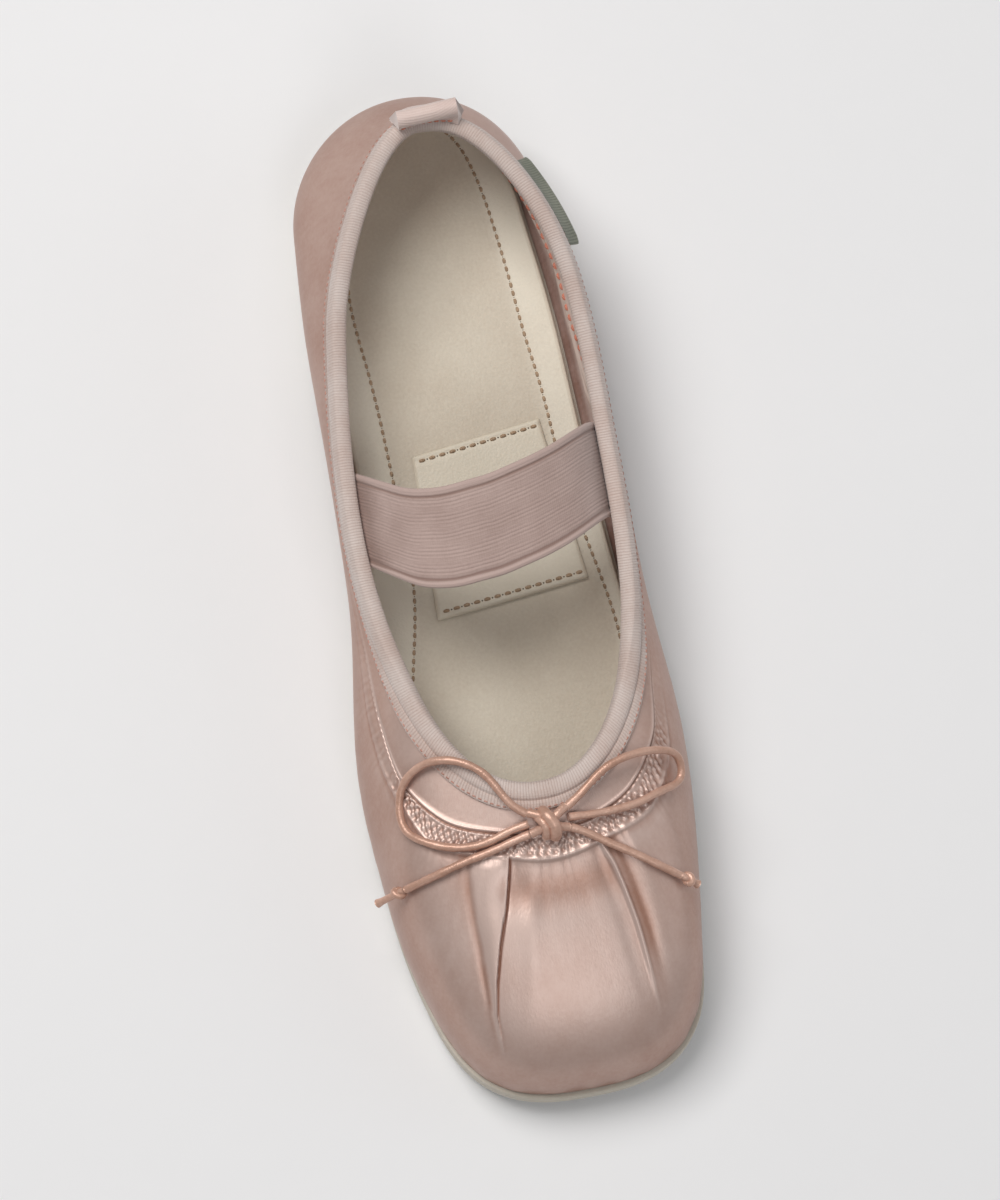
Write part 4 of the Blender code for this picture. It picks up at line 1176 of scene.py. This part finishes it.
def ribbed_of(name, shade, deep, roughness, pitch, pick, turn, height, sheen, rib_shade):
    """Ribbed tape or elastic, with painted shade between the ribs and in its hollows."""
    made, tree, shader = finish_of(
        name, roughness, Sheen_Weight=sheen, Sheen_Roughness=0.5, Specular_IOR_Level=0.35
    )
    rib = group_node(tree, ribs, Pitch=pitch, Pick=pick, Turn=turn)
    extra = maths(tree, "ADD", maths(tree, "MULTIPLY", rib.outputs["Painted rib shade"], rib_shade), painted_shade_in(tree))
    coloured(tree, shader, shade, deep, 0.010, 0.0007, 0.35, extra)
    bumped(tree, shader, rib.outputs["Height"], height)
    return made


# Painted shade on the tape's outer leg, deepest in its groove, and faintly on its inner leg, strongest round
# the heel.
heel_shade_weight = np.maximum(1 - ease((girth - 0.16) / 0.10), ease((girth - 0.76) / 0.08))
painted_shade_rows = np.zeros(tape_grid.shape[1])
painted_shade_rows[:10] = (0.35, 0.35, 0.40, 0.45, 0.5, 0.5, 0.6, 0.8, 0.9, 0.4)
painted_shade_rows[-14:-4] = 0.2
add_painted_shade(tape_mesh, painted_shade_rows[None, :] * (0.22 + 0.78 * heel_shade_weight)[:, None])
tape = ribbed_of(
    "binding tape", (0.670, 0.575, 0.530), (0.44, 0.275, 0.215), 0.58,
    pitch=RIB_PITCH, pick=0.0006, turn=0.0, height=0.00010, sheen=0.3, rib_shade=0.34,
)
place("binding_tape", tape_mesh, [tape], "topline_binding", "topline_binding")

pink_thread = thread_of("pink thread", (0.62, 0.33, 0.26), (0.44, 0.20, 0.15))
red_thread = thread_of("lining thread", (0.72, 0.27, 0.18), (0.50, 0.16, 0.10))


def sewn_row(name, line, up, long, gap, thick, thread):
    """Stitches along a line on a curved face, whose outward direction is up."""
    run = run_of(line)
    at = np.arange(0.0005, run[-1], long + gap)
    mesh = stitched(name, picked(at, run, line), picked(at, run, up), long, thick, 0.35)
    place(name, mesh, [thread], "topline_binding")


fine_girth = np.linspace(0, 1, 1441)[:-1]
line, out, _ = wall_frames(fine_girth, binding_drop(fine_girth)[:, None] * BINDING_SEAM)
line = line[:, 0] + out[:, 0] * (over - 0.00022)
sewn_row("binding_stitches", line, out[:, 0], *BINDING_STITCH, pink_thread)
nearest = np.argmin(np.abs(inner_rows - LINING_SEAM), axis=1)
out = -inner_normal[np.arange(LINING_COLUMNS), nearest]
line = np.concatenate([picked([LINING_SEAM], down, column) for down, column in zip(inner_rows, inside)])
sewn_row("lining_stitches", line + out * 0.0001, out, *LINING_STITCH, red_thread)

# Elastic strap. One wide ribbed elastic, its ends sewn inside both walls under
# the binding, arching over the instep and leaning to the toe.
STRAP_WIDTH = 0.0245
STRAP_THICKNESS = 0.0012
STRAP_STATION = 0.430
STRAP_RISE = 0.0165
STRAP_LEAN = 0.0082
STRAP_SKEW = 0.0024
STRAP_TILT = 0.0060
STRAP_TUCK = 0.0160
STRAP_CLEARANCE = 0.0004
STRAP_LIP = 0.0012
STRAP_RIBS = 25
STRAP_POINTS = 150
SELVEDGE_INSET, SELVEDGE_WIDTH = 0.0007, 0.0006
GROOVE_INSET, GROOVE_WIDTH = 0.0021, 0.0004

# The arch: share of the span from the inner end, share of the rise, share of the lean
ARCH = (
    (0.00, 0.00, 0.00),
    (0.06, 0.32, 0.46),
    (0.12, 0.54, 0.86),
    (0.20, 0.75, 1.26),
    (0.33, 0.94, 1.50),
    (0.46, 1.00, 1.48),
    (0.62, 0.98, 1.28),
    (0.77, 0.86, 0.95),
    (0.89, 0.62, 0.52),
    (0.96, 0.32, 0.20),
    (1.00, 0.00, 0.00),
)


def girth_at(station, outer):
    """Girth share of the wall column whose edge stands at a station, on one side."""
    near = np.linspace(0.02, 0.45, 200)
    g = near if outer else 1 - near
    return float(np.interp(station, 0.5 - edge_of(g)[:, 1] / SOLE_LENGTH, g))


def strap_line(edge_share):
    """The strap's middle surface along its length, at a share across it."""
    place_at = STRAP_STATION + edge_share * STRAP_WIDTH / SOLE_LENGTH
    ends = []
    for outer in (False, True):
        g = np.array([girth_at(place_at - outer * STRAP_SKEW / SOLE_LENGTH, outer)])
        depths = np.array([[STRAP_LIP, 0.5 * BINDING_DEPTH, BINDING_DEPTH, 0.6 * STRAP_TUCK, STRAP_TUCK]])
        p, n, _ = wall_frames(g, depths)
        inner = WALL + FIT_GAP + BINDING_THICKNESS + STRAP_CLEARANCE + 0.5 * STRAP_THICKNESS
        ends.append((p - n * inner)[0])
    a, b = ends[0][0], ends[1][0]
    rise = STRAP_RISE - edge_share * STRAP_TILT
    arch = []
    for k in range(1, 18):
        t = 0.5 - 0.5 * math.cos(math.pi * k / 18)
        risen, leant = (float(monotone(ARCH, c, t)) for c in (1, 2))
        arch.append(a * (1 - t) + b * t + np.array([0, -STRAP_LEAN * leant, rise * risen]))
    return np.concatenate([ends[0][::-1], arch, ends[1]])


lines = np.stack([strap_line(k) for k in (-0.5, 0.0, 0.5)], 1)
knots = run_of(lines[:, 1])
at = np.linspace(0, knots[-1], STRAP_POINTS)
fine_lines = np.zeros((STRAP_POINTS, 3, 3))
for j in range(3):
    for c in range(3):
        fine_lines[:, j, c] = spline(np.column_stack([knots, lines[:, j, c]]), 1, at)
w = np.linspace(-1, 1, 141)
bend = np.stack([0.5 * w * (w - 1), 1 - w**2, 0.5 * w * (w + 1)], 0)
strap = np.einsum("ijc,jk->ikc", fine_lines, bend)
face = unit(np.cross(np.gradient(strap, axis=0), np.gradient(strap, axis=1)))
selvedge = bell((1 - np.abs(w)) * 0.5 * STRAP_WIDTH - SELVEDGE_INSET, SELVEDGE_WIDTH)
rib = np.abs(np.sin(0.5 * math.pi * STRAP_RIBS * (w + 1) * 0.94)) ** 0.7
edge_round = np.clip((1 - np.abs(w)) / 0.03, 0, 1) ** 0.5
groove = bell((1 - np.abs(w)) * 0.5 * STRAP_WIDTH - GROOVE_INSET, GROOVE_WIDTH)
body = 0.78 + 0.16 * rib * (np.abs(w) < 0.93) + 0.30 * selvedge - 0.25 * groove
half_thick = 0.5 * STRAP_THICKNESS * body * (0.25 + 0.75 * edge_round)
upper_side = strap + face * half_thick[None, :, None]
lower_side = strap - face * half_thick[None, :, None]
strap_grid = np.concatenate([upper_side, lower_side[:, ::-1]], 1)
across_w = np.concatenate([w, w[::-1], w[:1]]) * 0.5 * STRAP_WIDTH
along_v = np.broadcast_to(at[:, None], (STRAP_POINTS, len(across_w)))
across_u = np.broadcast_to(across_w, along_v.shape)
strap_mesh = skin_mesh("instep_elastic", strap_grid, along_v, across_u, around=False, closed=True, ends=True)
# Painted highlight on the raised selvedges, painted shade in the grooves and at both ends, where the strap
# runs under the binding.
edge_light_groove_shade = -1.6 * selvedge + 1.0 * groove
from_end = np.minimum(at, at[-1] - at)[:, None]
painted_shade_at_ends = 0.55 * (1 - ease((from_end - STRAP_TUCK) / 0.0090))
add_painted_shade(strap_mesh, np.clip(np.concatenate([edge_light_groove_shade, edge_light_groove_shade[::-1]])[None, :] + painted_shade_at_ends, -1, 1))
elastic = ribbed_of(
    "instep elastic", (0.505, 0.375, 0.335), (0.29, 0.19, 0.16), 0.66,
    pitch=0.00084, pick=0.0006, turn=1.0, height=0.00004, sheen=0.3, rib_shade=0.35,
)
place("instep_elastic", strap_mesh, [elastic], "elastic_strap", "elastic_strap")

# Heel pull tab. A short loop of ribbon folded flat and sewn over the binding
# at the back seam.
TAB_WIDTH = 0.0160
TAB_SHIFT = 0.0030
TAB_TURN = 0.07
TAB_RISE = 0.0060
TAB_BACK = 0.0044
TAB_FRONT = 0.0004
TAB_LEG = 0.0011
TAB_GRIP = 0.0040
TAB_CLEARANCE = 0.0008
TAB_ACROSS = 41
TAB_STITCH = (0.0013, 0.0004, 0.00045)  # length, gap, thickness

near = np.linspace(-0.06, 0.06, 61)
back_arc = run_of(edge_of(near))
back_arc = back_arc - np.interp(0.0, near, back_arc)
share = np.linspace(-0.5, 0.5, TAB_ACROSS)
tab_girth = np.interp(TAB_SHIFT + share * TAB_WIDTH, back_arc, near)
p, n, t = (v[:, 0] for v in wall_frames(tab_girth, np.array([[0.0]])))
sewn = over + TAB_CLEARANCE
base = crown + FIT_GAP

# The ribbon's fold: order, distance back from the wall, height
corners = (
    (0.0, sewn, -TAB_GRIP),
    (0.7, sewn + TAB_LEG, -TAB_GRIP),
    (3.0, sewn + 0.8 * TAB_LEG, -0.5 * TAB_GRIP),
    (5.0, sewn + TAB_LEG, 0.0),
    (7.0, TAB_BACK, base + 0.55 * TAB_RISE),
    (8.6, 0.94 * TAB_BACK, base + 0.88 * TAB_RISE),
    (9.6, 0.55 * TAB_BACK, base + TAB_RISE),
    (11.0, -0.3 * TAB_FRONT, base + 0.62 * TAB_RISE),
    (13.0, -TAB_FRONT, base + 0.15 * TAB_RISE),
    (13.5, -TAB_FRONT, base),
)
fine = np.linspace(0, 13.5, 55)
section = np.stack([monotone(corners, c, fine) for c in (1, 2)], 1).tolist()
section += [(-0.6 * TAB_FRONT, base), (sewn - 0.0006, base), (sewn, 0.4 * base)]
rise = -t[TAB_ACROSS // 2]
turned_back = p[:, 1].mean() + TAB_TURN * (p[:, 0] - p[:, 0].mean())
straight = np.stack([p[:, 0], turned_back, np.full(TAB_ACROSS, p[:, 2].mean())], axis=1)
backward = np.array([0.0, 1.0, 0.0])
tab_lines = []
for a, b in section:
    flat = min(1.0, max(0.0, (b - base) / (0.35 * TAB_RISE)))
    tab_lines.append((p + n * a) * (1 - flat) + (straight + backward * a) * flat + rise * b)
tab = np.stack(tab_lines, axis=1)
step = np.linalg.norm(np.diff(tab, axis=1), axis=2)
tab_v = np.concatenate([np.zeros((TAB_ACROSS, 1)), np.cumsum(step, axis=1)], 1)
tab_v = np.concatenate([tab_v, tab_v[:, -1:] + 0.002], 1)
tab_u = np.broadcast_to((share * TAB_WIDTH)[:, None], tab_v.shape)
tab_mesh = skin_mesh("pull_tab", tab, tab_u, tab_v, around=False, closed=True, ends=True)
ribbon = ribbed_of(
    "tab ribbon", (0.76, 0.62, 0.565), (0.62, 0.44, 0.39), 0.45,
    pitch=0.00075, pick=0.0005, turn=1.0, height=0.00007, sheen=0.35, rib_shade=0.45,
)
tab_mesh.set_sharp_from_angle(angle=math.radians(50))
place("pull_tab", tab_mesh, [ribbon], "heel_tab", "heel_tab")

foot_line = tab[2:-2, 52] + [0.0, -0.00030, 0.00015]
foot_up = np.broadcast_to(np.array([0.0, -0.8, 0.6]), foot_line.shape)
sewn_row("tab_stitches", foot_line, foot_up, *TAB_STITCH, red_thread)

# Side label. A stiff woven flag caught under the binding outside the ankle,
# its face left plain.
LABEL_LENGTH = 0.0220
LABEL_DROP = 0.0036
LABEL_THICKNESS = 0.0009
LABEL_STATION = 0.155
LABEL_FLARE = 0.0020
LABEL_GAP = 0.0004
LABEL_COLUMNS, LABEL_ROWS = 41, 25

ends = [girth_at(LABEL_STATION + k * LABEL_LENGTH / SOLE_LENGTH, True) for k in (-0.5, 0.5)]
label_girth = np.linspace(ends[0], ends[1], LABEL_COLUMNS)
depth = np.linspace(0, 1, LABEL_ROWS)
drops = binding_drop(label_girth)[:, None] + FIT_GAP + depth[None, :] * LABEL_DROP
p, n, _ = wall_frames(label_girth, drops)
flare = (LABEL_GAP + LABEL_FLARE * depth**1.5)[None, :, None]
column = np.arange(LABEL_COLUMNS)
hem = np.clip(np.minimum(column, column[::-1]) / 3, 0, 1)[:, None] ** 0.5
thick = LABEL_THICKNESS * (0.35 + 0.45 * hem + 0.2 * bell(depth - 0.95, 0.08)[None, :])
near_face = p + n * (flare + 0.00005)
far_face = near_face + n * thick[:, :, None]
label_grid = np.concatenate([near_face, far_face[:, ::-1]], 1)
down_it = np.concatenate([depth, depth[::-1], depth[:1]]) * LABEL_DROP
label_v = np.broadcast_to(down_it, (LABEL_COLUMNS, len(down_it)))
label_u = np.broadcast_to(np.linspace(0, LABEL_LENGTH, LABEL_COLUMNS)[:, None], label_v.shape)
label_mesh = skin_mesh("side_flag", label_grid, label_u, label_v, around=False, closed=True, ends=True)
woven = ribbed_of(
    "woven flag", (0.27, 0.28, 0.225), (0.09, 0.10, 0.075), 0.80,
    pitch=0.0006, pick=0.0006, turn=0.0, height=0.00010, sheen=0.3, rib_shade=0.7,
)
label_mesh.set_sharp_from_angle(angle=math.radians(50))
place("side_flag", label_mesh, [woven], "side_label", "side_label")

# Bow. One thin tube of satin tied over the throat: a knot, two loops lying on
# the vamp and two tails, each ended with its own knot.
CORD = 0.0020
END_KNOT = 0.0036
END_TIP = 0.0055
END_WRAP = (0.00095, 0.00085, 0.0008)  # half width, half height, lean
END_CORD = 0.00088
TIP_CORD = 0.0009
WRAP_CORD, TURN_CORD, STRAND_CORD = 0.00155, 0.00110, 0.00112
KNOT_AT = np.array([0.0, -0.0662, 0.0448])

BOW = {
    "bow_loop_medial": (
        (-0.0050, -0.0632, 0.0452),
        (-0.0080, -0.0608, 0.0460),
        (-0.0135, -0.0520, 0.0468),
        (-0.0225, -0.0465, 0.0458),
        (-0.0290, -0.0465, 0.0420),
        (-0.0335, -0.0500, 0.0380),
        (-0.0350, -0.0550, 0.0360),
        (-0.0345, -0.0600, 0.0360),
        (-0.0310, -0.0640, 0.0382),
        (-0.0265, -0.0665, 0.0396),
        (-0.0160, -0.0680, 0.0423),
        (-0.0090, -0.0662, 0.0436),
        (-0.0050, -0.0656, 0.0442),
    ),
    "bow_loop_lateral": (
        (0.0050, -0.0632, 0.0452),
        (0.0085, -0.0610, 0.0460),
        (0.0155, -0.0560, 0.0468),
        (0.0265, -0.0530, 0.0450),
        (0.0320, -0.0530, 0.0415),
        (0.0355, -0.0550, 0.0368),
        (0.0355, -0.0585, 0.0350),
        (0.0290, -0.0625, 0.0393),
        (0.0235, -0.0645, 0.0412),
        (0.0175, -0.0655, 0.0424),
        (0.0095, -0.0658, 0.0436),
        (0.0050, -0.0656, 0.0442),
    ),
    "bow_tail_medial": (
        (-0.0050, -0.0680, 0.0434),
        (-0.0090, -0.0688, 0.0428),
        (-0.0140, -0.0700, 0.0420),
        (-0.0205, -0.0712, 0.0408),
        (-0.0295, -0.0730, 0.0375),
        (-0.0370, -0.0742, 0.0322),
    ),
    "bow_tail_lateral": (
        (0.0050, -0.0680, 0.0434),
        (0.0080, -0.0694, 0.0428),
        (0.0120, -0.0720, 0.0419),
        (0.0185, -0.0760, 0.0404),
        (0.0250, -0.0802, 0.0384),
        (0.0305, -0.0836, 0.0356),
    ),
}


def route(points, step):
    """A smooth curve through given points, read at even steps."""
    p = np.array(points, float)
    t = run_of(p)
    rows = np.column_stack([t, p])
    fine = np.linspace(0, t[-1], 400)
    curve = np.stack([spline(rows, c, fine) for c in (1, 2, 3)], 1)
    run = run_of(curve)
    at = np.linspace(0, run[-1], int(round(run[-1] / step)) + 1)
    return picked(at, run, curve), float(run[-1])


def tube(name, path, radius, sides=20):
    """A round cord along a path, with a radius at each point and a map that winds round it."""
    ahead = unit(np.gradient(path, axis=0))
    aside = unit(np.cross(ahead, upright) + 1e-6)
    over_it = np.cross(aside, ahead)
    a = 2 * math.pi * np.arange(sides) / sides
    radius = np.broadcast_to(radius, len(path))[:, None, None]
    ring = aside[:, None] * np.cos(a)[None, :, None] + over_it[:, None] * np.sin(a)[None, :, None]
    grid = path[:, None] + radius * ring
    u = np.broadcast_to(run_of(path)[:, None], (len(path), sides + 1))
    v = np.broadcast_to(np.linspace(0, math.pi * CORD, sides + 1), u.shape)
    return skin_mesh(name, grid, u, v, around=False, closed=True, ends=True)


cording = satin_of(
    "cord satin", (0.70, 0.445, 0.345), (0.46, 0.24, 0.16), 0.38, 0.30,
    along=0.0008, across=0.0005, amount=0.7, height=0.00012,
)
for name, points in BOW.items():
    path, long = route(points, 0.0006)
    k = np.arange(len(path))
    radius = 0.5 * CORD * (1 + 0.035 * np.sin(k * 0.83) + 0.03 * np.sin(k * 0.31 + 1))
    piece = place(name + "_cord", tube(name + "_cord", path, radius), [cording], "bow_cord", name)


# The turns of the cord in the knot, each thinner where it tucks under.
strands = {
    "knot_wrap": ((0.0010, -0.0034, -0.0014), (0.0013, -0.0026, 0.0008), (0.0009, -0.0008, 0.0021),
                  (-0.0001, 0.0010, 0.0022), (-0.0008, 0.0024, 0.0010), (-0.0009, 0.0032, -0.0010)),
    "knot_half_turn": ((-0.0012, -0.0032, -0.0012), (-0.0010, -0.0022, 0.0008), (-0.0013, -0.0006, 0.0017),
                       (-0.0022, 0.0008, 0.0012), (-0.0028, 0.0020, -0.0006)),
    "knot_left": ((-0.0047, 0.0031, 0.0005), (-0.0030, 0.0023, 0.0010), (-0.0010, 0.0012, 0.0010),
                  (0.0008, 0.0004, 0.0002)),
    "knot_left_low": ((-0.0047, -0.0018, -0.0013), (-0.0028, -0.0014, -0.0004), (-0.0008, -0.0010, 0.0006),
                      (0.0008, -0.0008, 0.0000)),
    "knot_right": ((0.0047, 0.0031, 0.0005), (0.0032, 0.0021, 0.0010), (0.0014, 0.0008, 0.0010),
                   (-0.0004, 0.0000, 0.0002)),
    "knot_right_low": ((0.0047, -0.0018, -0.0013), (0.0032, -0.0016, -0.0004), (0.0014, -0.0012, 0.0006),
                       (-0.0004, -0.0008, 0.0000)),
}
thick = {"knot_wrap": WRAP_CORD, "knot_half_turn": TURN_CORD}
for name, points in strands.items():
    path, _ = route(np.array(points) + KNOT_AT, 0.0003)
    swell = np.sin(math.pi * np.clip(np.linspace(1, 0, len(path)) * 5, 0, 0.5))
    mesh = tube(name, path, thick.get(name, STRAND_CORD) * (0.45 + 0.55 * swell), 18)
    place(name, mesh, [cording], "bow_cord", *(["bow_knot"] if name == "knot_wrap" else []))

for name, tail in (("tail_knot_medial", "bow_tail_medial"), ("tail_knot_lateral", "bow_tail_lateral")):
    end_at = np.array(BOW[tail][-1])
    heading = end_at - np.array(BOW[tail][-2])
    heading = heading / np.linalg.norm(heading)
    aside = np.cross(heading, upright)
    aside = aside / np.linalg.norm(aside)
    over_it = np.cross(aside, heading)
    mid_at = end_at + heading * (FIT_GAP + 0.5 * END_KNOT)
    half_wide, half_high, lean = END_WRAP
    ring_points = []
    for a in np.linspace(0, 2 * math.pi, 15)[:-1]:
        flat = mid_at + aside * (half_wide * math.cos(a)) + over_it * (half_high * math.sin(a))
        ring_points.append(flat + heading * (lean * math.sin(a + 0.6)))
    ring_points.append(ring_points[0])
    wrap = tube(name + "_wrap", route(ring_points, 0.0003)[0], END_CORD, 16)
    place(name + "_wrap", wrap, [cording], "bow_cord", name)
    reach = 1.0 if tail == "bow_tail_medial" else 0.58
    steps = ((0.0003, 0.0), (0.0020, 0.0002), (0.0040, 0.0), (0.0065, -0.0003), (END_KNOT + END_TIP, -0.0006))
    tip = [end_at + heading * (d * reach) + over_it * z for d, z in steps]
    path, _ = route(tip, 0.0004)
    k = np.linspace(0, 1, len(path))
    tip = tube(name + "_tip", path, TIP_CORD + 0.00022 * ease((k - 0.8) / 0.2))
    place(name + "_tip", tip, [cording], "bow_cord")

# Studio: a pale seamless floor, broad soft lights and the camera, which looks
# down past the toe as the photograph does.
floor_mesh = bpy.data.meshes.new("floor")
square = [(-3, -3, -0.0002), (3, -3, -0.0002), (3, 3, -0.0002), (-3, 3, -0.0002)]
floor_mesh.from_pydata(square, [], [(0, 1, 2, 3)])
floor = bpy.data.objects.new("floor", floor_mesh)
bpy.context.collection.objects.link(floor)
paper, tree, shader = finish_of("pale paper", 0.9, Specular_IOR_Level=0.2)
coloured(tree, shader, (0.87, 0.87, 0.875), (0.84, 0.84, 0.845), 0.4, 0.01, 0.3)
floor_mesh.materials.append(paper)

world = bpy.data.worlds.new("studio")
world.use_nodes = True
backdrop = world.node_tree.nodes["Background"]
backdrop.inputs["Color"].default_value = (0.95, 0.97, 1.0, 1)
backdrop.inputs["Strength"].default_value = 0.20
bpy.context.scene.world = world
bpy.context.scene.view_settings.view_transform = "Standard"


def soft_light(name, where, size, power, colour=(1, 1, 1)):
    """A square soft box aimed at the shoe."""
    data = bpy.data.lights.new(name, "AREA")
    data.size = size
    data.energy = power
    data.color = colour
    lamp = bpy.data.objects.new(name, data)
    bpy.context.collection.objects.link(lamp)
    lamp.location = where
    lamp.rotation_euler = (Vector((0, 0, 0.03)) - Vector(where)).to_track_quat("-Z", "Y").to_euler()


soft_light("key", (-0.42, 0.50, 1.40), 0.80, 16.5, (1.0, 0.98, 0.96))
soft_light("fill", (1.3, -0.1, 0.8), 1.1, 2.0, (0.97, 0.98, 1.0))
soft_light("front", (0.06, -0.66, 1.21), 0.50, 2.6)

# The photograph's direction of view. The camera is turned until the shoe is in its middle, which lies
# right of the photograph's middle and above it, in pixels at a focal length that is in pixels too.
VIEW_FOCAL = 3200
VIEW_RIGHT = 127
VIEW_UP = 63
camera_data = bpy.data.cameras.new("camera")
camera_data.sensor_fit = "HORIZONTAL"
camera_data.sensor_width = 36.0
camera_data.lens = 230.6
camera_data.clip_start = 0.05
camera = bpy.data.objects.new("camera", camera_data)
bpy.context.collection.objects.link(camera)
ahead = Vector((0.0455, 0.2027, -0.9782))
right = Vector((0.9835, -0.1805, 0.0083))
down = Vector((-0.1749, -0.9625, -0.2076))
aim = (ahead * VIEW_FOCAL + right * VIEW_RIGHT - down * VIEW_UP).normalized()
right = (right - aim * right.dot(aim)).normalized()
over_head = right.cross(aim)
camera.matrix_world = Matrix.Translation((-0.1406, -0.3488, 1.5875)) @ Matrix(
    (right, over_head, -aim)
).transposed().to_4x4()
bpy.context.scene.camera = camera
